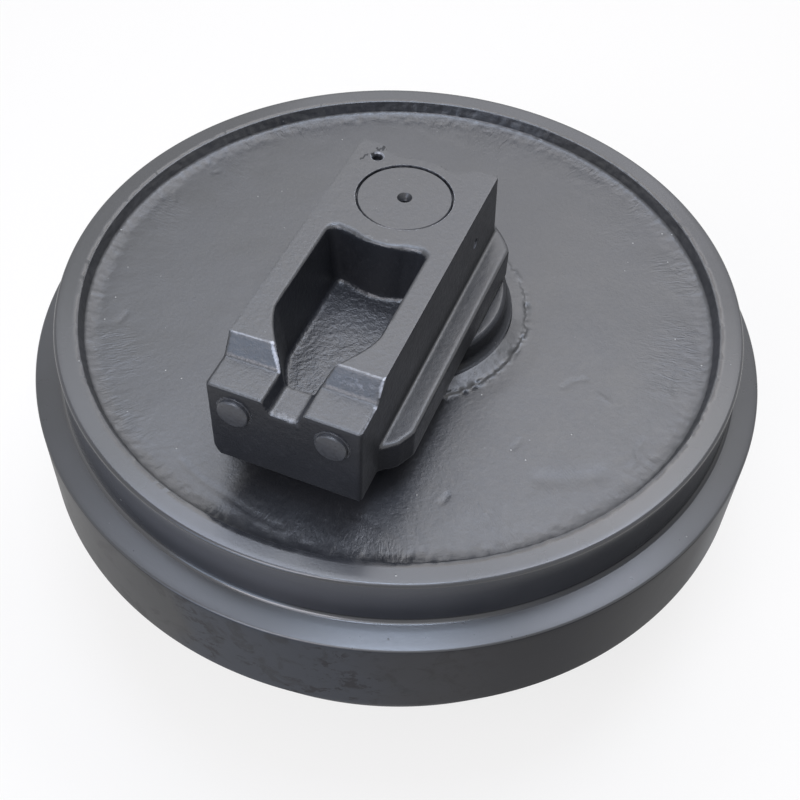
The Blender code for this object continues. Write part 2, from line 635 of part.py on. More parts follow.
def build_yoke_plug(name, x, z):
    """Push-in plug for a tapped yoke hole: shank, a lip in the spot face and a rounded head."""
    shank = PLUG_SHANK_RADIUS
    head = shank + PLUG_HEAD_WIDTH
    lip = PLUG_LIP_RADIUS
    top = PLUG_LIP_HEIGHT + PLUG_HEAD_HEIGHT
    profile = [(0.0, -PLUG_SHANK_LENGTH), (shank - PLUG_SHANK_LEAD, -PLUG_SHANK_LENGTH),
               (shank, PLUG_SHANK_LEAD - PLUG_SHANK_LENGTH), (shank, 0.0), (lip, 0.0), (lip, PLUG_LIP_HEIGHT),
               (head, PLUG_LIP_HEIGHT)]
    profile += arc(head - PLUG_HEAD_ROUND, top - PLUG_HEAD_ROUND, PLUG_HEAD_ROUND, PLUG_HEAD_ROUND, 0, 90, 2)
    profile.append((0.0, top))
    plug = make_object(name, turned(profile, HOLE_FACETS), PLUG_PLASTIC)
    plug.rotation_euler = (math.radians(90), 0, 0)
    plug.location = (x * MM, (SPOT_FACE_Y - SEAT) * MM, z * MM)
    return plug


def build_oil_plug():
    """Hexagon socket plug in the lower end of the shaft."""
    plug = make_object("oil_plug", rods([((0, 0, 0), (0, 0, OIL_PLUG_LENGTH))], OIL_PLUG_RADIUS), PIN_STEEL)
    socket = rods([((0, 0, -OVERCUT), (0, 0, OIL_PLUG_SOCKET_DEPTH))], OIL_PLUG_SOCKET, 6)
    combine(plug, "hexagon_socket", socket)
    settle(plug)
    plug.location = (0, 0, (OIL_PLUG_SUNK - SHAFT_END_Z) * MM)
    return plug


def build_turning_pieces():
    """The wheel and what turns with it."""
    rubber_z = HUB_SEAT_Z + SEAT + RUBBER_SECTION
    pieces = [build_bush(), build_seal_ring("seal_ring_upper_running", -1),
              build_round_ring("rubber_ring_upper_running", RUBBER_RADIUS, RUBBER_SECTION, rubber_z)]
    return [build_wheel()] + pieces + [lower_copy(piece) for piece in pieces]


def build_fixed_pieces():
    """The shaft, the brackets and what stays still with them."""
    rubber_z = BRACKET_SEAT_Z - SEAT - RUBBER_SECTION
    pieces = [build_bracket(), build_lock_pin(), build_seal_ring("seal_ring_upper_fixed", 1),
              build_round_ring("rubber_ring_upper_fixed", RUBBER_RADIUS, RUBBER_SECTION, rubber_z),
              build_round_ring("shaft_ring_upper", SHAFT_RING_RADIUS, SHAFT_RING_SECTION, SHAFT_RING_Z)]
    plugs = []
    for level, z in (("upper", YOKE_HOLE_Z), ("lower", -YOKE_HOLE_Z)):
        for hand, x in (("left", -YOKE_HOLE_X), ("right", YOKE_HOLE_X)):
            plugs.append(build_yoke_plug(f"yoke_plug_{level}_{hand}", x, z))
    return [build_shaft(), build_oil_plug()] + pieces + [lower_copy(piece) for piece in pieces] + plugs


def parent_to(name, pieces):
    """Hangs pieces on an empty at the centre of the wheel, on its axis."""
    empty = bpy.data.objects.new(name, None)
    bpy.context.scene.collection.objects.link(empty)
    for piece in pieces:
        piece.parent = empty


for leftover in list(bpy.data.objects):
    bpy.data.objects.remove(leftover)
parent_to("wheel_axis", build_turning_pieces())
parent_to("fixed_frame", build_fixed_pieces())
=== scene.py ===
import math

import bmesh
import bpy
from mathutils import Matrix, Vector, kdtree, noise


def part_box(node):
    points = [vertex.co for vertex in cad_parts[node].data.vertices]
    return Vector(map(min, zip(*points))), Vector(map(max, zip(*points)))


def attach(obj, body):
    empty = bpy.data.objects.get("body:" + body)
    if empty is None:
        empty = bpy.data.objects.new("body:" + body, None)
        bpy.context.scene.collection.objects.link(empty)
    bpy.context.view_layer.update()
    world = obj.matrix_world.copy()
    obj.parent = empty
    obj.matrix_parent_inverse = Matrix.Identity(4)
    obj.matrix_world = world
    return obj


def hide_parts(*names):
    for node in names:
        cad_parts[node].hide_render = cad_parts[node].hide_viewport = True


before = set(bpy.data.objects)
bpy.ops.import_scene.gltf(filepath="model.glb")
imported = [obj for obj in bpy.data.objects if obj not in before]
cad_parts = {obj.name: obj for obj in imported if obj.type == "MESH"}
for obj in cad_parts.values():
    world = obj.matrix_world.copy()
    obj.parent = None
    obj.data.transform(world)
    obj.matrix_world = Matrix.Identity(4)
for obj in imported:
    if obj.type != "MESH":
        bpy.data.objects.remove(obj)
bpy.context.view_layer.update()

# Looks of a track's front idler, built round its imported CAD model.
# Sizes in the dictionaries are in millimetres, in the frame of the part: the wheel axis is Z.
mm = 0.001
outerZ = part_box("bracket_upper")[1].z / mm
frontY = -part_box("bracket_upper")[0].y / mm
scene = bpy.context.scene


cameraView = {
    "lens": 55.7316,
    "place": (0.24326, -0.65064, 0.77518),
    "aim": (0.04095, -0.10176, 0.086),
    "roll": 2.5827,                      # degrees about the line of sight
}


def makeCamera(view):
    data = bpy.data.cameras.new("camera")
    data.lens = view["lens"]
    data.sensor_width = 36
    data.clip_start = 0.01
    data.clip_end = 50
    camera = bpy.data.objects.new("camera", data)
    place = Vector(view["place"])
    turn = (Vector(view["aim"]) - place).to_track_quat("-Z", "Y").to_matrix()
    roll = Matrix.Rotation(math.radians(view["roll"]), 3, "Z")
    camera.matrix_world = Matrix.Translation(place) @ (turn @ roll).to_4x4()
    scene.collection.objects.link(camera)
    scene.camera = camera


makeCamera(cameraView)


class Signal:
    # An output in a node graph, so that masks add and multiply like plain numbers.
    def __init__(self, graph, socket):
        self.graph = graph
        self.socket = socket

    def __add__(self, other):
        return self.graph.maths("ADD", self, other)

    def __radd__(self, other):
        return self.graph.maths("ADD", other, self)

    def __sub__(self, other):
        return self.graph.maths("SUBTRACT", self, other)

    def __rsub__(self, other):
        return self.graph.maths("SUBTRACT", other, self)

    def __mul__(self, other):
        return self.graph.maths("MULTIPLY", self, other)

    def __rmul__(self, other):
        return self.graph.maths("MULTIPLY", other, self)

    def highest(self, other):
        return self.graph.maths("MAXIMUM", self, other)

    def clamped(self):
        return self.graph.maths("ADD", self, 0.0, clamp=True)

    def between(self, low, high):
        return self.graph.add("ShaderNodeMapRange", {"interpolation_type": "SMOOTHSTEP"},
                              {"Value": self, "From Min": low, "From Max": high})


class Graph:
    # A node tree whose nodes are added one by one.
    def __init__(self, tree):
        self.tree = tree

    def join(self, value, socket):
        if isinstance(value, Signal):
            self.tree.links.new(value.socket, socket)
        else:
            socket.default_value = value

    def add(self, kind, settings=None, inputs=None, output=0):
        node = self.tree.nodes.new(kind)
        for label, value in (settings or {}).items():
            setattr(node, label, value)
        for label, value in (inputs or {}).items():
            self.join(value, node.inputs[label])
        return Signal(self, node.outputs[output])

    def maths(self, operation, first, second=0.0, clamp=False):
        return self.add("ShaderNodeMath", {"operation": operation, "use_clamp": clamp}, {0: first, 1: second})

    def mix(self, mask, first, second):
        return self.add("ShaderNodeMix", {"data_type": "RGBA"},
                        {0: mask, 6: colour4(first), 7: colour4(second)}, output=2)

    def shown(self):
        # 1 for the rays that see the studio's white, 0 for those that light the part.
        camera = self.add("ShaderNodeLightPath", output="Is Camera Ray")
        glossy = self.add("ShaderNodeLightPath", output="Is Glossy Ray")
        through = self.add("ShaderNodeLightPath", output="Is Transmission Ray")
        return camera.highest(glossy).highest(through)


class Finish(Graph):
    # A procedural material.
    def __init__(self, name, **sockets):
        self.material = bpy.data.materials.new(name)
        self.material.use_nodes = True
        super().__init__(self.material.node_tree)
        self.shader = self.tree.nodes["Principled BSDF"]
        for label, value in sockets.items():
            self.feed(label, value)
        self.place = self.add("ShaderNodeTexCoord", output="Object")
        self.reliefs = None

    def feed(self, label, value):
        self.join(value, self.shader.inputs[label.replace("_", " ")])

    def noise(self, size, detail=2.0, roughness=0.5, stretch=(1, 1, 1), warp=0.0):
        # Noise of 0 to 1 whose features are about as wide as the size in millimetres.
        where = self.add("ShaderNodeMapping", {"vector_type": "POINT"},
                         {"Vector": self.place, "Scale": stretch})
        return self.add("ShaderNodeTexNoise", None,
                        {"Vector": where, "Scale": 1 / (size * mm), "Detail": detail, "Roughness": roughness,
                         "Distortion": warp})

    def speckle(self, size, share, softness):
        # Round specks, each in its own cell of the given size, as wide as this share of it.
        cells = self.add("ShaderNodeTexVoronoi", None, {"Vector": self.place, "Scale": 1 / (size * mm)})
        return 1 - cells.between(share, share + softness)

    def attribute(self, name):
        return self.add("ShaderNodeAttribute", {"attribute_name": name}, output="Fac")

    def axis(self, label):
        # One coordinate of the surface point, in metres.
        return self.add("ShaderNodeSeparateXYZ", None, {0: self.place}, label)

    def relief(self, height, depth):
        # One more layer of bump; the depth is in millimetres.
        inputs = {"Height": height, "Distance": depth * mm}
        if self.reliefs:
            inputs["Normal"] = self.reliefs
        self.reliefs = self.add("ShaderNodeBump", None, inputs)
        self.feed("Normal", self.reliefs)


def colour4(value):
    if isinstance(value, Signal):
        return value
    return (*value, 1.0)


def between(value, low, high):
    # Smooth step of a plain number.
    share = min(max((value - low) / (high - low), 0.0), 1.0)
    return share * share * (3 - 2 * share)


def arc(centreX, centreY, width, height, start, end, steps):
    points = []
    for step in range(steps + 1):
        angle = math.radians(start + (end - start) * step / steps)
        points.append((centreX + width * math.cos(angle), centreY + height * math.sin(angle)))
    return points


def bothSides(half):
    return half + [(-x, y) for x, y in reversed(half) if x > 1e-6]


def offset(outline, distance):
    count = len(outline)
    points = [Vector(point) for point in outline]
    area = sum(points[i - 1].x * points[i].y - points[i].x * points[i - 1].y for i in range(count))
    turn = math.copysign(1.0, area)
    moved = []
    for index, point in enumerate(points):
        before = (point - points[index - 1]).normalized()
        after = (points[(index + 1) % count] - point).normalized()
        normal = (Vector((before.y + after.y, -before.x - after.x)) * turn).normalized()
        side = Vector((before.y, -before.x)) * turn
        moved.append(tuple(point + normal * distance / max(normal.dot(side), 0.5)))
    return moved


def distanceToLine(spot, start, end):
    start = Vector(start)
    along = Vector(end) - start
    share = min(max((spot - start).dot(along) / along.length_squared, 0.0), 1.0)
    return (spot - start - along * share).length


def atHeight(outline, z):
    return [(x, y, z) for x, y in outline]


def resample(points, longest):
    # The same open line with no step longer than the given length.
    fine = [points[0]]
    for start, end in zip(points, points[1:]):
        start = Vector(start)
        end = Vector(end)
        steps = max(1, math.ceil((end - start).length / longest - 1e-6))
        for step in range(1, steps + 1):
            fine.append(tuple(start.lerp(end, step / steps)))
    return fine


def loft(rings):
    bm = bmesh.new()
    rows = [[bm.verts.new(point) for point in ring] for ring in rings]
    for lower, upper in zip(rows, rows[1:]):
        for index in range(len(lower)):
            bm.faces.new((lower[index - 1], lower[index], upper[index], upper[index - 1]))
    bm.faces.new(rows[0])
    bm.faces.new(rows[-1])
    return bm


def turned(profile, facets):
    # A solid of revolution about Z from a closed profile of (radius, height) points.
    bm = bmesh.new()
    rows = []
    for radius, height in profile:
        if radius < 1e-6:
            rows.append([bm.verts.new((0, 0, height))] * facets)
            continue
        row = []
        for step in range(facets):
            angle = 2 * math.pi * step / facets
            row.append(bm.verts.new((radius * math.cos(angle), radius * math.sin(angle), height)))
        rows.append(row)
    for index in range(len(rows)):
        near = rows[index - 1]
        far = rows[index]
        for step in range(facets):
            corners = []
            for vert in (near[step - 1], near[step], far[step], far[step - 1]):
                if vert not in corners:
                    corners.append(vert)
            if len(corners) > 2:
                bm.faces.new(corners)
    return bm


def rod(start, end, radius, facets=48):
    along = Vector(end) - Vector(start)
    turn = along.to_track_quat("Z", "Y").to_matrix().to_4x4()
    middle = Matrix.Translation((Vector(start) + Vector(end)) / 2)
    bm = bmesh.new()
    bmesh.ops.create_cone(bm, cap_ends=True, segments=facets, radius1=radius, radius2=radius,
                          depth=along.length, matrix=middle @ turn)
    return bm


def makePiece(name, bm, finishes=(), angle=35):
    # An object from a bmesh in millimetres.
    bmesh.ops.remove_doubles(bm, verts=bm.verts, dist=1e-4)
    bmesh.ops.recalc_face_normals(bm, faces=bm.faces)
    bmesh.ops.scale(bm, vec=(mm, mm, mm), verts=bm.verts)
    mesh = bpy.data.meshes.new(name)
    bm.to_mesh(mesh)
    bm.free()
    mesh.shade_smooth()
    mesh.set_sharp_from_angle(angle=math.radians(angle))
    for finish in finishes:
        mesh.materials.append(finish.material)
    piece = bpy.data.objects.new(name, mesh)
    scene.collection.objects.link(piece)
    return piece


def combine(target, bm, operation="DIFFERENCE", solver="MANIFOLD"):
    tool = makePiece("tool", bm)
    modifier = target.modifiers.new("cut", "BOOLEAN")
    modifier.operation = operation
    modifier.solver = solver
    modifier.object = tool
    return tool


def settle(piece, angle=35):
    # Turns a piece's modifiers into its mesh and clears away the tools that they used.
    tools = [modifier.object for modifier in piece.modifiers if modifier.type == "BOOLEAN"]
    bpy.context.view_layer.update()
    mesh = bpy.data.meshes.new_from_object(piece.evaluated_get(bpy.context.evaluated_depsgraph_get()))
    piece.modifiers.clear()
    old = piece.data
    piece.data = mesh
    bpy.data.meshes.remove(old)
    for tool in tools:
        data = tool.data
        bpy.data.objects.remove(tool)
        bpy.data.meshes.remove(data)
    mesh.shade_smooth()
    mesh.set_sharp_from_angle(angle=math.radians(angle))
    return piece


paint = {
    "dark": (0.021, 0.022, 0.025),
    "light": (0.027, 0.028, 0.032),
    # colour of rubbed paint, made bright enough to also paint in the highlight that rounded edges catch
    "wearAndHighlightColour": (0.44, 0.45, 0.48),
    "dust": (0.55, 0.54, 0.50),
    "gloss": 0.8,                        # specular level of faces that look up, 0.5 being plain paint
    "wallGloss": 0.26,                   # the same of walls, which are duller
    "flangeGloss": 0.08,
    "roughness": 0.36,
    "turnedRoughness": 0.22,
}


def paintedCasting(name, gloss, grain, wearAndHighlight, specks):
    # Satin paint over a sand casting: orange peel, grit, dust specks and lighter edges, partly rubbed paint and
    # partly painted highlight.
    finish = Finish(name, Specular_IOR_Level=gloss)
    broad = finish.noise(70, 3, 0.55)
    fine = finish.noise(5, 4, 0.62)
    # lighter edges: rubbed paint and painted highlight
    wearAndHighlightMask = (finish.attribute("edge") * 1.9 + finish.noise(4, 4, 0.7) * 1.5 - 1.25).clamped() * wearAndHighlight
    grit = finish.speckle(15, 0.03, 0.03) * finish.noise(45, 2, 0.5).between(0.4, 0.6)
    colour = finish.mix(broad.between(0.3, 0.7), paint["dark"], paint["light"])
    colour = finish.mix(fine.between(0.55, 0.8) * 0.5, colour, (0.05, 0.051, 0.055))
    colour = finish.mix(wearAndHighlightMask, colour, paint["wearAndHighlightColour"])
    colour = finish.mix(grit * specks, colour, paint["dust"])
    finish.feed("Base Color", colour)
    finish.feed("Roughness", paint["roughness"] + (broad - 0.5) * 0.18 + (fine - 0.5) * 0.22 - wearAndHighlightMask * 0.1)
    finish.relief(finish.noise(14, 2, 0.5), 0.28 * grain)
    finish.relief(finish.noise(3.2, 3, 0.6), 0.30 * grain)
    finish.relief(finish.noise(1.2, 2, 0.5), 0.10 * grain)
    finish.relief(grit, 0.3)
    return finish


def rippledCasting(name, gloss):
    # The web's paint, with fine ripples that run out to the rim and a few shallow sags.
    finish = paintedCasting(name, gloss, 0.55, 0.8, 0.7)
    across = finish.axis("X")
    along = finish.axis("Y")
    angle = finish.maths("ARCTAN2", along, across)
    radius = finish.maths("SQRT", across * across + along * along)
    polar = finish.add("ShaderNodeCombineXYZ", None, {0: angle * 55.0, 1: radius * 60.0, 2: 0.0})
    lines = finish.add("ShaderNodeTexNoise", None,
                       {"Vector": polar, "Scale": 1.0, "Detail": 3.0, "Distortion": 1.6})
    outer = radius.between(0.175, 0.225) * (1 - radius.between(0.240, 0.246))
    patches = finish.noise(60, 2, 0.5).between(0.42, 0.62)
    finish.relief(lines * outer * patches, 0.55)
    return finish


def paintedTurning(name, gloss, dark, light, roughness, paintedReflection=0.0):
    # Satin paint over a turned surface, lighter high up at the front by the given share, which is a painted
    # reflection of the floor.
    finish = Finish(name, Specular_IOR_Level=gloss)
    broad = finish.noise(60, 3, 0.5)
    fine = finish.noise(5, 3, 0.5)
    # lighter edges and specks, in the colour of rubbed paint and painted highlight
    wearAndHighlightMask = (finish.attribute("edge") * 1.9 + finish.noise(5, 4, 0.7) * 1.5 - 1.3).clamped()
    colour = finish.mix(broad.between(0.3, 0.7), dark, light)
    grit = finish.speckle(17, 0.028, 0.02) * finish.noise(50, 2, 0.5).between(0.45, 0.6)
    # painted reflection: the upper front of the surface is lighter, where the floor is mirrored
    if paintedReflection:
        front = 1 - finish.axis("Y").between(-0.26, -0.19)
        colour = finish.mix(finish.axis("Z").between(0.05, 0.07) * front * paintedReflection, colour, (0.13, 0.132, 0.14))
    colour = finish.mix(wearAndHighlightMask, colour, paint["wearAndHighlightColour"])
    finish.feed("Base Color", finish.mix(grit * 0.5, colour, paint["dust"]))
    finish.feed("Roughness", roughness + (broad - 0.5) * 0.04 + (fine - 0.5) * 0.06)
    finish.relief(finish.noise(1.8, 3, 0.5), 0.03)
    finish.relief(grit, 0.2)
    return finish


def mottledTurning(name, gloss):
    # The flange's running face: chalky on the left, black blots where that ends, then soot, and darker to the
    # right, which is painted shade.
    finish = Finish(name, Specular_IOR_Level=gloss)
    broad = finish.noise(60, 3, 0.5)
    across = finish.axis("X")
    drift = across + (finish.noise(90, 3, 0.6) - 0.5) * 0.12
    chalky = 1 - drift.between(-0.07, -0.03)
    bluish = (1 - drift.between(0.06, 0.15)) * (1 - chalky)
    blots = finish.noise(9, 5, 0.72, stretch=(0.6, 0.6, 1.0), warp=0.4).between(0.545, 0.585)
    clusters = finish.noise(34, 3, 0.6).between(0.44, 0.58) * bluish
    smears = finish.noise(26, 4, 0.6, warp=0.5).between(0.5, 0.62) * chalky
    sooty = finish.noise(20, 5, 0.7, warp=0.6).between(0.5, 0.64)
    sooty = sooty * (1 - drift.between(0.16, 0.2)) * (1 - chalky)
    colour = finish.mix(broad.between(0.3, 0.7), (0.014, 0.014, 0.016), (0.020, 0.020, 0.023))
    # painted shade: right of about 0.13 m the face keeps the dark base, and it is lighter to the left
    colour = finish.mix(1 - across.between(0.13, 0.21), colour, (0.050, 0.049, 0.050))
    colour = finish.mix(across.between(0.272, 0.284), colour, (0.10, 0.105, 0.115))
    colour = finish.mix(bluish * 0.9, colour, (0.060, 0.064, 0.072))
    colour = finish.mix(sooty * 0.5, colour, (0.028, 0.026, 0.026))
    colour = finish.mix(chalky, colour, (0.070, 0.068, 0.064))
    colour = finish.mix(smears * 0.7, colour, (0.046, 0.044, 0.042))
    finish.feed("Base Color", finish.mix((blots * clusters).clamped() * 0.85, colour, (0.024, 0.022, 0.024)))
    finish.feed("Roughness", 0.42 + (broad - 0.5) * 0.1)
    finish.relief(finish.noise(1.8, 3, 0.5), 0.05)
    finish.relief(finish.noise(22, 2, 0.5), 0.10)
    return finish


def hollowTurning(name):
    # The fillet at the flange's root: duller paint, under a wet coat that fades to the right.
    finish = paintedTurning(name, 0.4, paint["dark"], paint["light"], 0.24)
    finish.feed("Coat Weight", 1 - finish.axis("X").between(0.12, 0.21))
    finish.feed("Coat Roughness", 0.16)
    return finish


def metal(name, colour, roughness, grain=1.0, metallic=1.0):
    finish = Finish(name, Metallic=metallic)
    fine = finish.noise(3, 4, 0.6)
    shade = tuple(channel * 0.72 for channel in colour)
    finish.feed("Base Color", finish.mix(fine.between(0.3, 0.7), shade, colour))
    finish.feed("Roughness", roughness + (fine - 0.5) * 0.15)
    finish.relief(finish.noise(1.5, 2, 0.5), 0.03 * grain)
    return finish


def darkPlastic(name):
    finish = Finish(name)
    fine = finish.noise(2.5, 3, 0.6)
    colour = finish.mix(fine.between(0.35, 0.65), (0.045, 0.046, 0.05), (0.062, 0.064, 0.07))
    finish.feed("Base Color", colour)
    finish.feed("Roughness", 0.3 + (fine - 0.5) * 0.16)
    finish.relief(finish.noise(1.2, 2, 0.5), 0.03)
    return finish


finishes = {
    "bracket": paintedCasting("bracketPaint", paint["gloss"], 1.0, 1.0, 0.35),
    "bracketWall": paintedCasting("bracketWallPaint", paint["wallGloss"], 1.0, 0.8, 0.1),
    "ledge": paintedCasting("ledgePaint", paint["gloss"], 0.35, 0.8, 0.3),
    "pocket": paintedCasting("pocketPaint", paint["gloss"], 2.2, 1.0, 0.3),
    "web": rippledCasting("webPaint", paint["gloss"]),
    "webWall": paintedCasting("webWallPaint", 0.2, 1.0, 0.6, 0.1),
    "rim": paintedTurning("rimPaint", paint["gloss"], paint["dark"], paint["light"], paint["turnedRoughness"]),
    "band": paintedTurning("bandPaint", 0.8, paint["dark"], paint["light"], 0.29),
    "hollow": hollowTurning("hollowPaint"),
    # the tread's last number is the share of its painted reflection
    "tread": paintedTurning("treadPaint", 0.16, (0.046, 0.048, 0.054), (0.058, 0.060, 0.066), 0.22, 0.55),
    "flange": mottledTurning("flangePaint", paint["flangeGloss"]),
    "pin": metal("pinSteel", (0.20, 0.20, 0.21), 0.38),
    "bronze": metal("bushBronze", (0.62, 0.42, 0.20), 0.32),
    "iron": metal("sealIron", (0.42, 0.43, 0.44), 0.22),
    "rubber": metal("sealRubber", (0.018, 0.018, 0.019), 0.6, 2.0, 0.0),
    "plastic": darkPlastic("plugPlastic"),
    "chipped": metal("chippedSkin", (0.012, 0.012, 0.013), 0.7, 2.0, 0.0),
}
print("finishes made")


wheel = {
    "segments": 720,
    "tread": 268.0,                      # radius
    "treadWidth": 47.0,
    "flange": 290.0,                     # radius
    "flangeHalf": 39.0,
    "flangeDraft": 9.0,                  # degrees by which the flange's sides slope
    "flangeFillet": 3.6,
    "flangeEdge": 2.0,
    "edge": 2.6,
    "rimInner": 249.5,                   # radius where the turned rim face meets the cast lip
    "lipSlope": 3.0,
    "webDepth": 12.0,
    "filletWidth": 13.0,
    "filletHeight": 4.0,
    "hub": 83.0,                         # radius
    "hubProud": 12.0,
    "footRadius": 6.0,                   # the round between the hub and the pad that it stands on
    "pad": 101.0,                        # radius of the pad's ragged edge
    "padHeight": (1.2, 5.0),             # above the web, at its edge and at the hub
    "padFull": -0.9,                     # direction in radians in which the pad has its full height
    "padFade": 0.8,                      # share of the height that it loses on the other side
    "padTear": (2.0, 2.6),               # reach and depth of the pad's torn edge
    "hubEdge": 3.5,
    "sealHousing": 53.7,
    "sealSeat": 85.8,                    # height of the seal housing's floor
    "bushBore": 40.3,
    "bushSeat": (6.0, 4.3),              # width and depth of the recess for a bush's flange
    "dent": 0.55,                        # depth of the web's broad unevenness
    "wrinkle": 0.35,                     # and of the fine folds near the rim
    "wrinkleStart": (185, 228),          # radii where the folds begin and are full
    "lipReach": (22, 10),                # how far inside the rim the rough lip begins and is full
    "footReach": (4, 20),                # how far outside the pad its roughness ends
    "lipGrain": 0.55,                    # depth of the cast lip's unevenness
    "lipStreaks": 0.5,                   # depth of the streaks that run across it
    "lipCalm": 0.6,                      # share of all this that is left at the rim's edge
    "rimWear": 0.15,
}


# Marks on the upper web: the points of each line, its half width and its depth in millimetres.
scratches = [
    ([(-84, -206), (-64, -215), (-44, -220), (-19, -227), (5, -230)], 1.7, 0.4),
    ([(45, -202), (57, -201), (67, -204)], 1.5, 0.35),
    ([(-221, 93), (-211, 83), (-207, 88)], 1.7, 0.7),
    ([(-215, 93), (-206, 86)], 1.5, 0.5),
    ([(-229, 47), (-223, 38)], 1.5, 0.5),
    ([(-193, -105), (-192, -95)], 1.7, 0.5),
    ([(215, -56), (212, -68), (216, -76), (211, -88)], 1.6, 0.5),
    ([(145, -32), (150, -23), (159, -16)], 1.7, 0.45),
    ([(129, -103), (132, -93)], 1.6, 0.45),
    ([(225, -5), (220, 26), (222, 36), (231, 36)], 2.0, 0.45),
    ([(101, -159), (100, -166)], 1.7, 0.6),
    ([(156, -120), (179, -111), (194, -99)], 7.0, 0.6),
    ([(173, -28), (180, -31)], 1.7, -0.4),
]


def scratchDepth(x, y):
    # How deep the marks are at a point of the upper web.
    depth = 0.0
    for points, halfWidth, deepest in scratches:
        reach = halfWidth * 2.5
        for start, end in zip(points, points[1:]):
            if not min(start[0], end[0]) - reach < x < max(start[0], end[0]) + reach:
                continue
            if not min(start[1], end[1]) - reach < y < max(start[1], end[1]) + reach:
                continue
            value = deepest * math.exp(-(distanceToLine(Vector((x, y)), start, end) / halfWidth) ** 2)
            if abs(value) > abs(depth):
                depth = value
    return depth


def wheelRelief(radius, angle, z, seed):
    # How far the casting's skin lies off its ideal shape, in millimetres.
    size = wheel
    x = radius * math.cos(angle)
    y = radius * math.sin(angle)
    spot = Vector((x, y, z + seed * 300))
    lipStart, lipFull = size["lipReach"]
    footFull, footEnd = size["footReach"]
    tearReach, tearDepth = size["padTear"]
    lip = between(radius, size["rimInner"] - lipStart, size["rimInner"] - lipFull)
    foot = 1 - between(radius, size["pad"] + footFull, size["pad"] + footEnd)
    ragged = math.exp(-((radius - size["pad"]) / tearReach) ** 2)
    flat = (1 - lip) * (1 - foot)
    broad = noise.noise(spot / 85) * size["dent"] + noise.noise(spot / 30) * size["dent"] * 0.3
    bend = noise.noise(spot / 55)
    ripple = noise.noise(Vector((radius * 0.018 + bend * 1.5, angle * 14 + bend * 2, seed * 7)))
    band = between(radius, *size["wrinkleStart"]) * (1 - lip * 0.6)
    wrinkle = max(0.0, 0.32 - abs(ripple)) * -size["wrinkle"] * band
    coarse = noise.noise(spot / 9) * 0.6 + noise.noise(spot / 3.6) * 0.3
    streak = noise.noise(Vector((radius / 9, angle * size["rimInner"] / 2.6, z / 9 + seed * 50))) * lip
    torn = (noise.noise(spot / 16) + noise.noise(spot / 5) * 0.5) * ragged * tearDepth
    marks = scratchDepth(x, y) if z > 0 else 0.0
    return (broad * flat + wrinkle + torn - marks + streak * size["lipStreaks"]
            + coarse * size["lipGrain"] * (lip * 0.8 + foot * 0.4))


def wheelProfile():
    # The upper half in stretches: points of (radius, height), longest step, finish and whether it is rough.
    size = wheel
    top = size["flangeHalf"]
    rimZ = top + size["treadWidth"]
    webZ = rimZ - size["webDepth"]
    hubZ = rimZ + size["hubProud"]
    edge = size["edge"]
    fillet = size["flangeFillet"]
    lipFoot = size["rimInner"] - size["lipSlope"]
    draft = math.radians(size["flangeDraft"])
    crestRound = size["flangeEdge"]
    crestX = size["flange"] - crestRound
    crestY = top - crestRound
    flange = [(size["flange"], 0.0)]
    flange += arc(crestX, crestY, crestRound, crestRound, 0, 30, 4)
    crest = arc(crestX, crestY, crestRound, crestRound, 30, 90 - size["flangeDraft"], 8)
    hollowX = size["tread"] + fillet
    hollowY = crestY + (crestRound + fillet + (crestX - hollowX) * math.sin(draft)) / math.cos(draft)
    hollow = arc(hollowX, hollowY, fillet, fillet, 270 - size["flangeDraft"], 180, 14)
    shoulder = arc(size["tread"] - edge, rimZ - edge, edge, edge, 0, 90, 8)
    rim = [shoulder[-1], (size["rimInner"] + 1.0, rimZ)]
    lip = [(size["rimInner"] + 1.0, rimZ), (size["rimInner"], rimZ - 0.5)]
    lip += arc(lipFoot - size["filletWidth"], webZ + size["filletHeight"], size["filletWidth"],
               size["filletHeight"], 0, -90, 10)
    web = [lip[-1], (size["pad"] + 1.0, webZ)]
    padLow, padHigh = size["padHeight"]
    foot = [web[-1], (size["pad"], webZ + padLow * 0.4), (size["pad"] - 0.8, webZ + padLow)]
    foot += [(size["hub"] + size["footRadius"], webZ + padHigh)]
    foot += arc(size["hub"] + size["footRadius"], webZ + padHigh + size["footRadius"], size["footRadius"],
                size["footRadius"], 255, 180, 10)
    hub = [foot[-1]] + arc(size["hub"] - size["hubEdge"], hubZ - size["hubEdge"], size["hubEdge"],
                           size["hubEdge"], 0, 90, 4)
    hub += [(size["sealHousing"] + 0.5, hubZ), (size["sealHousing"], hubZ - 0.5)]
    seatWidth, seatDepth = size["bushSeat"]
    seatZ = size["sealSeat"] - seatDepth
    inside = [hub[-1], (size["sealHousing"], size["sealSeat"]), (size["bushBore"] + seatWidth, size["sealSeat"])]
    inside += [(size["bushBore"] + seatWidth, seatZ), (size["bushBore"], seatZ), (size["bushBore"], 0.0)]
    return [
        (flange, 6, "flange", False),
        (crest + hollow[:1], 4, "band", False),
        (hollow, 4, "hollow", False),
        ([hollow[-1], shoulder[0]], 4, "tread", False),
        (shoulder, 4, "rim", False),
        (rim, 4, "rim", False),
        (lip, 0.8, "web", True),
        (web, 2.0, "web", True),
        (foot[:4], 1.0, "web", True),
        (foot[3:], 1.0, "webWall", True),
        (hub[:6], 2, "webWall", False),
        (hub[5:], 3, "web", False),
        (inside, 30, "web", False),
    ]


wheelFinishes = ("web", "rim", "flange", "tread", "webWall", "band", "hollow")


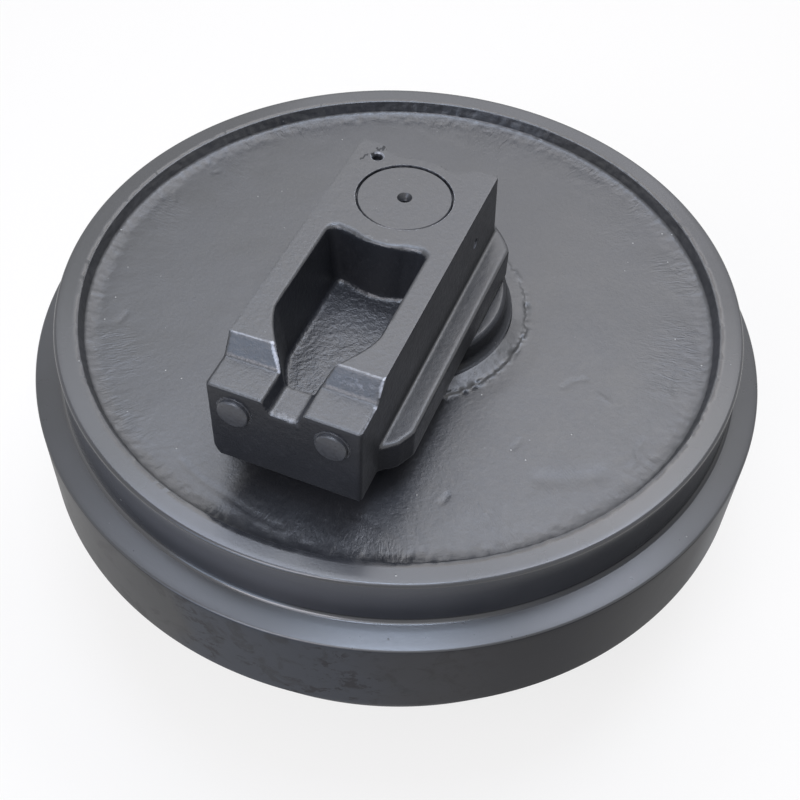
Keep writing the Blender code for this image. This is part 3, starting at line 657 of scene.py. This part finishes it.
def buildWheel():
    # Revolves the profile, upper half and mirrored lower half, with each side's own unevenness.
    size = wheel
    segments = size["segments"]
    rows = []
    for points, longest, finish, cast in wheelProfile():
        fine = resample(points, longest)
        if rows:
            fine = fine[1:]
        for point in fine:
            rows.append((point, finish, cast))
    lower = [((radius, -z), finish, cast) for (radius, z), finish, cast in reversed(rows)]
    rows = rows + lower[1:-1]
    bm = bmesh.new()
    edgeLayer = bm.verts.layers.float.new("edge")
    webZ = size["flangeHalf"] + size["treadWidth"] - size["webDepth"]
    rings = []
    count = len(rows)
    for index, ((radius, level), finish, cast) in enumerate(rows):
        before = Vector(rows[index - 1][0])
        after = Vector(rows[(index + 1) % count][0])
        line = (after - before).normalized()
        normal = Vector((-line.y, line.x))
        if (radius > 150 and normal.x < -0.9) or normal.y * level < 0:
            normal = -normal
        ring = []
        onPad = size["hub"] + size["footRadius"] - 0.5 < radius < size["pad"] + 1.5
        for step in range(segments):
            angle = 2 * math.pi * step / segments
            z = level
            push = 0.0
            if cast:
                faded = 1 - size["padFade"] * between(math.cos(angle - size["padFull"]), 0.75, 0.35)
                z = math.copysign(webZ + (abs(z) - webZ) * faded, z) if onPad else z
                push = wheelRelief(radius, angle, z, 1 if z > 0 else 2)
                if radius > size["rimInner"] - 0.8:
                    push *= size["lipCalm"]
            away = radius + normal.x * push
            vert = bm.verts.new((away * math.cos(angle), away * math.sin(angle), z + normal.y * push))
            vert[edgeLayer] = size["rimWear"] if abs(radius - size["rimInner"]) < 1.2 else 0.0
            ring.append(vert)
        rings.append(ring)
    for index in range(count):
        near = rings[index - 1]
        far = rings[index]
        finish = rows[index][1] if rows[index][0][1] >= 0 else rows[index - 1][1]
        for step in range(segments):
            face = bm.faces.new((near[step - 1], near[step], far[step], far[step - 1]))
            face.material_index = wheelFinishes.index(finish)
    return makePiece("wheelCasting", bm, [finishes[finish] for finish in wheelFinishes], 40)


wheelPiece = buildWheel()
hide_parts("idler_wheel")
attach(wheelPiece, "wheel")
print("wheel made", len(wheelPiece.data.polygons))


bracket = {
    "underside": 100.0,                  # heights above the mid-plane
    "shoeTop": 126.0,
    "pocketFloor": 134.5,
    "slotFloor": 160.5,
    "step": 171.0,
    "blockHalf": 55.0,
    "blockCorner": 3.0,
    "shoeRadius": 83.0,
    "shoeHalf": 72.5,
    "shoeFront": 182.0,
    "shoeTaper": 26.0,
    "shoeEdge": 1.5,
    "archRadius": 45.5,
    "archAngle": 22.0,
    "earY": 51.0,
    "earWidth": 22.5,
    "earCorner": 2.5,
    "rearDraft": 7.0,
    "stepLength": 28.0,
    "stepSlope": 9.0,
    "groundWidth": 5.0,
    "groundHeight": 9.0,
    "pocketHalf": 37.5,
    "pocketRear": 48.8,
    "pocketFront": 180.0,
    "pocketCorner": 7.0,
    "pocketDraft": 1.5,
    "pocketSideDraft": 4.5,
    "pocketFillet": 3.5,
    "pocketMouth": 1.2,                  # rounding of the pocket's edge
    "rearMouth": 4.2,                    # and of its rear, beside the shaft
    "bossRadius": 54.3,
    "bossShare": 0.85,
    "funnelLength": 46.0,
    "funnelBulge": 1.45,
    "slotHalf": 10.0,
    "slotSlope": 0.44,
    "slotRunIn": 12.0,
    "boreRadius": 35.3,
    "gap": 0.9,                          # between the shaft's end and the bore's mouth
    "gapDepth": 4.0,
    "spigotRadius": 38.9,
    "spigotZ": 86.1,
    "housingRadius": 53.7,
    "housingSeat": 112.2,
    "holeX": 35.0,
    "holeZ": 152.0,
    "holeRadius": 8.75,
    "holeDepth": 30.0,
    "spotRadius": 12.65,
    "spotDepth": 0.6,
    "earHole": (-36.0, 34.5),
    "earHoleRadius": 4.2,
    "earHoleDepth": 6.0,
    "earHoleSink": 1.0,
    "pinRadius": 4.3,
    "pinY": 6.0,
    "pinZ": 155.0,
    "pinInner": 10.7,
    "voxel": 1.25,
    "rounding": 3,                       # passes of smoothing that round the edges
    "skin": 0.16,                        # depth of the cast skin's unevenness
    "pocketGrain": 0.42,                 # the same on the pocket's floor
    "wallTilt": 0.45,                    # faces that look up or down by less than this are walls
    "rearEdge": 30.0,                    # beyond these, faces that turn away by more than the share are dull too
    "leftEdge": -50.0,
    "edgeTurn": 0.25,
    "overcut": 5.0,
}


# Edges of the bracket painted lighter, partly rubbed paint and partly painted highlight: start, end, reach in
# millimetres and how far.
wearAndHighlightEdges = [
    ((-24.5, -168.5, 185.0), (-14.6, -179.0, 171.5), 2.0, 1.0),
    ((-53.0, -170.0, 185.0), (-24.5, -168.5, 185.0), 1.5, 0.5),
    ((17.0, -168.5, 185.0), (55.0, -168.5, 185.0), 1.8, 0.5),
    ((55.0, -168.5, 185.0), (55.0, -182.0, 171.5), 2.6, 1.0),
    ((55.0, -182.0, 171.0), (55.0, -209.5, 171.0), 1.6, 0.6),
    ((-9.0, -209.5, 160.5), (11.5, -209.5, 160.5), 2.0, 0.9),
    ((-9.0, -203.0, 160.5), (11.5, -205.0, 160.5), 5.0, 0.35),
    ((-55.0, -209.5, 171.0), (-15.0, -209.5, 171.0), 1.5, 0.35),
    ((15.0, -209.5, 171.0), (55.0, -209.5, 171.0), 1.8, 0.5),
    ((55.0, -209.5, 171.0), (55.0, -209.5, 152.0), 2.2, 0.6),
    ((-34.0, -51.0, 184.0), (34.0, -48.0, 184.0), 4.0, 0.25),
    ((24.0, -174.0, 178.0), (48.0, -174.0, 178.0), 7.0, 0.3),
    ((-50.0, -174.0, 178.0), (-26.0, -174.0, 178.0), 6.0, 0.12),
]


# Lines on an ear along which the paint has chipped: start, end and reach.
chips = [
    ((-39.0, 42.0), (-30.5, 48.5), 3.0),
    ((-31.0, 51.0), (-24.0, 49.5), 1.6),
    ((-24.5, 50.0), (-22.5, 46.0), 1.4),
    ((-41.0, 36.5), (-45.5, 30.0), 1.7),
    ((-45.5, 29.5), (-46.5, 27.0), 1.5),
]


chipGrain = 2.3                          # size of the chips' ragged outline


def isChipped(x, y):
    for start, end, reach in chips:
        distance = distanceToLine(Vector((x, y)), start, end)
        ragged = noise.noise(Vector((x / chipGrain, y / chipGrain, 9)))
        if distance < reach and ragged > 0.55 * distance / reach - 0.22:
            return True
    return False


def wearAndHighlightShare(spot):
    # How much of the lighter colour of rubbed paint and painted highlight the bracket has at a point, 0 to 1.
    share = 0.0
    for start, end, reach, strength in wearAndHighlightEdges:
        distance = distanceToLine(spot, start, end)
        if distance < reach:
            share = max(share, strength * (1 - (distance / reach) ** 2))
    return share


def shoeOutline(size):
    edgeAngle = math.degrees(math.acos(size["shoeHalf"] / size["shoeRadius"]))
    ledge = size["shoeHalf"] - size["blockHalf"]
    half = arc(0, 0, size["shoeRadius"], size["shoeRadius"], 90, edgeAngle, 40)
    half += [(size["shoeHalf"], size["shoeTaper"] - size["shoeFront"]),
             (size["shoeHalf"] - ledge / 3, size["shoeTaper"] / 2 - size["shoeFront"]),
             (size["blockHalf"] - size["blockCorner"], -size["shoeFront"])]
    return bothSides(half)


def blockOutline(size):
    earInner = size["blockHalf"] - size["earWidth"]
    half = arc(0, 0, size["archRadius"], size["archRadius"], 90, 90 - size["archAngle"], 12)
    valleyX, valleyY = half[-1]
    step = size["earY"] - valleyY
    half.append(((valleyX + earInner) / 2, valleyY))
    half += arc(earInner + step, size["earY"] - step, step, step, 180, 90, 8)[1:]
    corner = size["earCorner"]
    half += arc(size["blockHalf"] - corner, size["earY"] - corner, corner, corner, 90, 0, 6)
    corner = size["blockCorner"]
    half += arc(size["blockHalf"] - corner, corner - frontY, corner, corner, 0, -90, 6)
    return bothSides(half)


def pocketOutline(size):
    bossAngle = math.degrees(math.acos(size["pocketRear"] / size["bossRadius"]))
    half = arc(0, 0, size["bossRadius"], size["bossRadius"], -90, bossAngle * size["bossShare"] - 90, 10)
    corner = size["pocketCorner"]
    half += arc(size["pocketHalf"] - corner, -size["pocketRear"] - corner, corner, corner, 90, 0, 8)
    endHalf = size["slotHalf"] + 2 * size["pocketMouth"]
    funnelY = size["funnelLength"] - size["pocketFront"]
    steps = 18
    for step in range(steps + 1):
        share = step / steps
        width = endHalf + (size["pocketHalf"] - endHalf) * (1 - share ** size["funnelBulge"])
        half.append((width, funnelY - size["funnelLength"] * share))
    return bothSides(half)


def pocketCore(size):
    mouth = pocketOutline(size)
    squeeze = 1 - size["pocketSideDraft"] / size["pocketHalf"]
    floor = [(x * squeeze, y) for x, y in offset(mouth, -size["pocketDraft"])]
    fillet = size["pocketFillet"]
    rings = []
    for angle in (0, 20, 40, 60, 90):
        turn = math.radians(angle)
        rings.append(atHeight(offset(floor, -fillet * (1 - math.sin(turn))),
                              size["pocketFloor"] + fillet * (1 - math.cos(turn))))
    outward = [Vector(far) - Vector(near) for near, far in zip(mouth, offset(mouth, 1.0))]
    rounding = []
    for x, y in mouth:
        rear = between(y, -size["pocketRear"] - 9, -size["pocketRear"] - 1)
        rounding.append(size["pocketMouth"] + (size["rearMouth"] - size["pocketMouth"]) * rear)
    for angle in (0, 30, 60, 88):
        turn = math.radians(angle)
        ring = []
        for (x, y), out, radius in zip(mouth, outward, rounding):
            spread = radius * (1 - math.cos(turn))
            ring.append((x + out.x * spread, y + out.y * spread, outerZ - radius * (1 - math.sin(turn))))
        rings.append(ring)
    rings.append([(x, y, outerZ + size["overcut"]) for x, y, z in rings[-1]])
    return loft(rings)


def slotCore(size):
    top = outerZ + size["overcut"]
    topHalf = size["slotHalf"] + (top - size["slotFloor"]) * size["slotSlope"]
    section = [(-size["slotHalf"], size["slotFloor"]), (size["slotHalf"], size["slotFloor"]),
               (topHalf, top), (-topHalf, top)]
    ends = (size["slotRunIn"] - size["pocketFront"], -frontY - size["overcut"])
    return loft([[(x, y, z) for x, z in section] for y in ends])


def stepCore(size):
    top = outerZ + size["overcut"]
    foot = size["stepLength"] - frontY
    slope = size["stepSlope"] / (outerZ - size["step"])
    front = -frontY - size["overcut"]
    side = [(foot + (top - size["step"]) * slope, top), (foot, size["step"]),
            (front, size["step"]), (front, top)]
    reach = size["blockHalf"] + size["overcut"]
    return loft([[(x, y, z) for y, z in side] for x in (-reach, reach)])


def groundCorner(size):
    over = size["overcut"]
    slope = size["groundWidth"] / size["groundHeight"]
    left = -size["blockHalf"] - over
    foot = size["underside"] - over
    section = [(left, foot), (size["groundWidth"] + over * slope - size["blockHalf"], foot),
               (left, size["underside"] + size["groundHeight"] + over / slope)]
    return loft([[(x, y, z) for x, z in section] for y in (-frontY - over, -size["shoeFront"])])


def bracketSkin(size, spot, normal, seed):
    # Unevenness of the cast skin at a point, in millimetres, deeper inside the pocket.
    x, y, z = spot
    shifted = Vector((x, y, z + seed * 500))
    inPocket = 0.0
    if abs(x) < size["pocketHalf"] and -size["pocketFront"] < y < -size["pocketRear"] + 2 and z < outerZ - 3:
        inPocket = 1.0
    floor = 1 - between(z, size["pocketFloor"] + 2, size["pocketFloor"] + 6)
    coarse = noise.noise(shifted / 9) * 0.5 + noise.noise(shifted / 2.8) * 0.5
    low = noise.noise(shifted / 40) * 0.5 + noise.noise(shifted / 14) * 0.3
    depth = size["skin"] * (low + coarse * 0.5)
    if inPocket:
        depth = coarse * size["pocketGrain"] * (0.3 + 0.7 * floor)
    machined = abs(normal.z) > 0.9 and z > size["step"] - 1
    if machined:
        depth = -abs(low) * size["skin"] * 0.5
    return depth


bracketFinishes = ("bracket", "bracketWall", "pocket", "ledge", "chipped")


def bracketFinish(size, spot, normal):
    # Which finish a face of the bracket has: walls and the edges that turn away are duller.
    x, y, z = spot
    turnedAway = normal.y if y > size["rearEdge"] else -normal.x if x < size["leftEdge"] else 0.0
    if abs(normal.z) < size["wallTilt"] or turnedAway > size["edgeTurn"]:
        return "bracketWall"
    if z > size["step"] and isChipped(x, y):
        return "chipped"
    inPocket = abs(x) < size["pocketHalf"] and y < -size["pocketRear"]
    if inPocket and z < size["pocketFloor"] + 8 and normal.z > 0:
        return "pocket"
    return "ledge" if z < size["shoeTop"] + 2 else "bracket"


def roughCasting(size, name, seed):
    # The casting before it is drilled and bored: remeshed, rounded and given its skin.
    top = blockOutline(size)
    slant = size["rearDraft"] / (outerZ - size["shoeTop"])
    rings = []
    for z in (size["underside"], size["shoeTop"], outerZ):
        back = (outerZ - z) * slant
        rings.append([(x, y + back if y > 0 else y, z) for x, y in top])
    casting = makePiece(name, loft(rings), [finishes[finish] for finish in bracketFinishes])
    shoe = shoeOutline(size)
    shoeRings = [atHeight(shoe, size["underside"]), atHeight(shoe, size["shoeTop"] - size["shoeEdge"]),
                 atHeight(offset(shoe, -size["shoeEdge"]), size["shoeTop"])]
    combine(casting, loft(shoeRings), "UNION", "EXACT")
    for tool in (stepCore(size), pocketCore(size), slotCore(size), groundCorner(size)):
        combine(casting, tool, "DIFFERENCE", "EXACT")
    settle(casting)
    remesh = casting.modifiers.new("remesh", "REMESH")
    remesh.mode = "VOXEL"
    remesh.voxel_size = size["voxel"] * mm
    settle(casting)
    before = [vert.co.copy() for vert in casting.data.vertices]
    smoothing = casting.modifiers.new("smoothing", "SMOOTH")
    smoothing.factor = 0.5
    smoothing.iterations = size["rounding"]
    settle(casting)
    normals = [vert.normal.copy() for vert in casting.data.vertices]
    edges = []
    for vert, old, normal in zip(casting.data.vertices, before, normals):
        edges.append((old - vert.co).dot(normal) / mm)
        push = bracketSkin(size, vert.co / mm, normal, seed)
        vert.co += normal * push * mm
    # lighter colour on edges, partly rubbed paint and partly painted highlight: convex edges by how much the
    # smoothing rounded them, and the listed edges
    layer = casting.data.attributes.new("edge", "FLOAT", "POINT")
    wearAndHighlight = []
    for vert, value in zip(casting.data.vertices, edges):
        wearAndHighlight.append(max(min(max(value * 2.2 - 0.15, 0.0), 0.8), wearAndHighlightShare(vert.co / mm)))
    layer.data.foreach_set("value", wearAndHighlight)
    return casting


def buildBracket(name, seed):
    size = bracket
    over = size["overcut"]
    casting = roughCasting(size, name, seed)
    finder = kdtree.KDTree(len(casting.data.vertices))
    wearAndHighlight = [item.value for item in casting.data.attributes["edge"].data]
    for vert in casting.data.vertices:
        finder.insert(vert.co, vert.index)
    finder.balance()
    spigot = [(0, size["spigotZ"]), (size["spigotRadius"], size["spigotZ"]),
              (size["spigotRadius"], size["shoeTop"] - 6), (0, size["shoeTop"] - 6)]
    housing = [(0, size["underside"] - over), (size["housingRadius"], size["underside"] - over),
               (size["housingRadius"], size["housingSeat"]), (0, size["housingSeat"])]
    bore = [(0, size["spigotZ"] - over), (size["boreRadius"], size["spigotZ"] - over),
            (size["boreRadius"], outerZ - size["gapDepth"]),
            (size["boreRadius"] + size["gap"], outerZ - size["gapDepth"]),
            (size["boreRadius"] + size["gap"], outerZ + over), (0, outerZ + over)]
    combine(casting, turned(housing, 128))
    combine(casting, turned(spigot, 128), "UNION")
    combine(casting, turned(bore, 160))
    x, y = size["earHole"]
    sink = size["earHoleRadius"] + size["earHoleSink"]
    hole = turned([(0, outerZ - size["earHoleDepth"]), (size["earHoleRadius"], outerZ - size["earHoleDepth"]),
                   (size["earHoleRadius"], outerZ - size["earHoleSink"]), (sink, outerZ), (sink, outerZ + over),
                   (0, outerZ + over)], 48)
    bmesh.ops.translate(hole, vec=(x, y, 0), verts=hole.verts)
    combine(casting, hole)
    for side in (-1, 1):
        start = (side * size["holeX"], -frontY - over, size["holeZ"])
        combine(casting, rod(start, (side * size["holeX"], size["holeDepth"] - frontY, size["holeZ"]),
                             size["holeRadius"]))
        combine(casting, rod(start, (side * size["holeX"], size["spotDepth"] - frontY, size["holeZ"]),
                             size["spotRadius"], 96))
    combine(casting, rod((size["blockHalf"] + over, size["pinY"], size["pinZ"]),
                         (size["pinInner"], size["pinY"], size["pinZ"]), size["pinRadius"]))
    settle(casting, 30)
    # new vertices from the cuts, near the old surface, get half of the lighter edge colour of rubbed paint and
    # painted highlight
    values = []
    for vert in casting.data.vertices:
        spot, index, distance = finder.find(vert.co)
        values.append(wearAndHighlight[index] if distance < 0.02 * mm else 0.5 if distance < 2.5 * mm else 0.0)
    layer = casting.data.attributes.get("edge") or casting.data.attributes.new("edge", "FLOAT", "POINT")
    layer.data.foreach_set("value", values)
    for face in casting.data.polygons:
        face.material_index = bracketFinishes.index(bracketFinish(size, face.center / mm, face.normal))
    return casting


def mirrored(piece):
    # Turns a piece into its counterpart on the lower side.
    bm = bmesh.new()
    bm.from_mesh(piece.data)
    bmesh.ops.scale(bm, vec=(1, 1, -1), verts=bm.verts)
    bmesh.ops.reverse_faces(bm, faces=bm.faces)
    bm.to_mesh(piece.data)
    bm.free()
    return piece


for side, seed in (("upper", 1), ("lower", 4)):
    piece = buildBracket(side + "BracketCasting", seed)
    if side == "lower":
        mirrored(piece)
    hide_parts("bracket_" + side)
    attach(piece, "support")
    print(side, "bracket made", len(piece.data.polygons))


shaft = {
    "radius": 35.0,
    "end": 184.2,
    "chamfer": 0.9,
    "groove": 31.0,
    "grooveZ": 120.0,
    "grooveHalf": 2.0,
    "centreRadius": 5.6,
    "centreSlope": 1.73,
    "pilotRadius": 2.5,
    "pilotDepth": 9.0,
    "plugBore": 8.3,
    "plugDepth": 13.8,
}


def buildShaft(size):
    end = size["end"]
    cone = end - (size["centreRadius"] - size["pilotRadius"]) * size["centreSlope"]
    grooveTop = size["grooveZ"] + size["grooveHalf"]
    grooveEnd = size["grooveZ"] - size["grooveHalf"]
    upper = [(size["radius"] - size["chamfer"], end), (size["radius"], end - size["chamfer"]),
             (size["radius"], grooveTop), (size["groove"], grooveTop),
             (size["groove"], grooveEnd), (size["radius"], grooveEnd)]
    profile = [(0, cone - size["pilotDepth"]), (size["pilotRadius"], cone - size["pilotDepth"]),
               (size["pilotRadius"], cone), (size["centreRadius"], end)]
    profile += upper + [(radius, -z) for radius, z in reversed(upper)]
    profile += [(size["plugBore"], -end), (size["plugBore"], size["plugDepth"] - end),
                (0, size["plugDepth"] - end)]
    piece = makePiece("shaftBar", turned(profile, 160), (finishes["bracket"],))
    for pinZ in (bracket["pinZ"], -bracket["pinZ"]):
        combine(piece, rod((bracket["pinInner"], bracket["pinY"], pinZ),
                           (size["radius"] + 5, bracket["pinY"], pinZ), bracket["pinRadius"]))
    return settle(piece, 30)


piece = buildShaft(shaft)
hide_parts("shaft")
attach(piece, "support")

plug = {
    "shank": 8.45,
    "shankLength": 14.0,
    "lip": 12.55,
    "lipHeight": 0.9,
    "head": 11.45,
    "headHeight": 3.0,
    "round": 1.4,
    "seat": 0.3,
}


def buildPlug(size, name, x, z):
    top = size["lipHeight"] + size["headHeight"]
    profile = [(0, -size["shankLength"]), (size["shank"] - 1, -size["shankLength"]),
               (size["shank"], 1 - size["shankLength"]), (size["shank"], 0), (size["lip"], 0)]
    profile += arc(size["lip"] - 0.3, size["lipHeight"] - 0.3, 0.3, 0.3, 0, 90, 3)
    profile.append((size["head"], size["lipHeight"]))
    profile += arc(size["head"] - size["round"], top - size["round"], size["round"], size["round"], 0, 90, 6)
    profile.append((0, top))
    bm = turned(profile, 96)
    bmesh.ops.rotate(bm, cent=(0, 0, 0), matrix=Matrix.Rotation(math.radians(90), 3, "X"), verts=bm.verts)
    y = bracket["spotDepth"] - frontY - size["seat"]
    bmesh.ops.translate(bm, vec=(x, y, z), verts=bm.verts)
    return makePiece(name, bm, (finishes["plastic"],), 30)


for level, height in (("upper", 1), ("lower", -1)):
    for hand, across in (("left", -1), ("right", 1)):
        piece = buildPlug(plug, f"{level}{hand.title()}YokePlug", across * bracket["holeX"],
                          height * bracket["holeZ"])
        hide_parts(f"yoke_plug_{level}_{hand}")
        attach(piece, "support")

pin = {
    "inner": 11.0,
    "outer": 52.0,
    "radius": 4.0,
    "edge": 0.6,
}


def buildPin(size, name, side):
    edge = size["edge"]
    profile = [(0, size["inner"]), (size["radius"] - edge, size["inner"]),
               (size["radius"], size["inner"] + edge)]
    profile += arc(size["radius"] - edge, size["outer"] - edge, edge, edge, 0, 90, 4)
    profile.append((0, size["outer"]))
    bm = turned(profile, 48)
    bmesh.ops.rotate(bm, cent=(0, 0, 0), matrix=Matrix.Rotation(math.radians(90), 3, "Y"), verts=bm.verts)
    bmesh.ops.translate(bm, vec=(0, bracket["pinY"], side * bracket["pinZ"]), verts=bm.verts)
    return makePiece(name, bm, (finishes["pin"],), 30)


for level, height in (("upper", 1), ("lower", -1)):
    piece = buildPin(pin, level + "LockPin", height)
    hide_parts("lock_pin_" + level)
    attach(piece, "support")
print("shaft, plugs and pins made")


keptFinishes = {"bush_": "bronze", "seal_ring_": "iron", "rubber_ring_": "rubber", "shaft_ring_": "rubber",
                "oil_plug": "pin"}
for name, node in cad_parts.items():
    for start, finish in keptFinishes.items():
        if name.startswith(start):
            node.material_slots[0].material = finishes[finish].material


floor = {
    "z": -outerZ,
    "radius": 6000.0,
    "glow": 0.775,                       # the white that no shadow reaches
    "shade": (0.212, 0.2, 0.184),        # and the paint that takes the shadow, against the lamps' blue
    "unseenGlow": 0.1,                   # what the glow adds to the light on the object
}


def makeFloor(size):
    bm = bmesh.new()
    bmesh.ops.create_circle(bm, cap_ends=True, segments=96, radius=size["radius"])
    bmesh.ops.translate(bm, vec=(0, 0, size["z"] - 0.2), verts=bm.verts)
    finish = Finish("floorWhite", Roughness=0.8, Specular_IOR_Level=0.0)
    finish.feed("Base Color", (*size["shade"], 1.0))
    colour = finish.mix(finish.shown(), (size["unseenGlow"],) * 3, (size["glow"],) * 3)
    finish.feed("Emission Color", colour)
    finish.feed("Emission_Strength", 1.0)
    piece = makePiece("floor", bm, (finish,))


backdrop = {
    "shown": 1.0,                        # strength of the white, 1 being pure white
    "unseen": 0.15,                      # what it adds to the light on the object
}


def makeWorld(size):
    world = bpy.data.worlds.new("studio")
    scene.world = world
    world.use_nodes = True
    graph = Graph(world.node_tree)
    background = world.node_tree.nodes["Background"]
    graph.join((1.0, 1.0, 1.0, 1.0), background.inputs["Color"])
    strength = graph.shown() * (size["shown"] - size["unseen"]) + size["unseen"]
    graph.join(strength, background.inputs["Strength"])


# Each softbox: elevation and azimuth, width and height in degrees as the part sees them,
# brightness of its face and colour.
lamps = {
    "top": ((88, -70), (16, 16), 8.8, (0.84, 1.0, 1.29)),
    "topBack": ((79, 110), (16, 16), 1.4, (1.0, 1.0, 1.05)),
    "highLeft": ((66, 150), (20, 16), 3.8, (0.9, 1.0, 1.24)),
    "highMiddle": ((66, 105), (18, 16), 2.0, (0.95, 1.0, 1.12)),
    "highRight": ((66, 60), (20, 16), 5.0, (0.93, 1.0, 1.19)),
    "backLeft": ((52, 132), (24, 14), 1.7, (0.97, 1.0, 1.06)),
    "backMiddle": ((52, 104), (24, 14), 1.2, (1.1, 1.0, 0.93)),
    "backRight": ((52, 76), (24, 14), 2.5, (1.0, 1.0, 1.03)),
    "lowLeft": ((37, 132), (24, 16), 0.3, (1.0, 1.0, 1.0)),
    "lowMiddle": ((37, 104), (24, 16), 1.15, (0.98, 1.0, 1.1)),
    "lowRight": ((37, 78), (24, 16), 0.5, (1.0, 1.0, 1.1)),
    "frontTop": ((65, -84), (34, 26), 2.0, (0.95, 1.0, 1.15)),
    "frontHigh": ((40, -100), (26, 22), 5.3, (1.02, 1.0, 1.1)),
    "front": ((14, -110), (30, 26), 1.45, (0.73, 1.0, 1.5)),
}
lampDistance = 2.6                       # metres from the part's middle


def makeLamps():
    for name, (direction, spread, brightness, colour) in lamps.items():
        elevation, azimuth = (math.radians(angle) for angle in direction)
        width, height = (2 * lampDistance * math.tan(math.radians(angle / 2)) for angle in spread)
        place = Vector((math.cos(elevation) * math.cos(azimuth), math.cos(elevation) * math.sin(azimuth),
                        math.sin(elevation))) * lampDistance
        data = bpy.data.lights.new(name, "AREA")
        data.shape = "RECTANGLE"
        data.size = width
        data.size_y = height
        data.energy = brightness * math.pi * width * height
        data.color = colour
        lamp = bpy.data.objects.new(name, data)
        lamp.location = place
        lamp.rotation_euler = place.to_track_quat("Z", "Y").to_euler()
        lamp.visible_camera = False
        scene.collection.objects.link(lamp)


makeFloor(floor)
makeWorld(backdrop)
makeLamps()
scene.view_settings.view_transform = "Standard"
print("floor and lamps made")
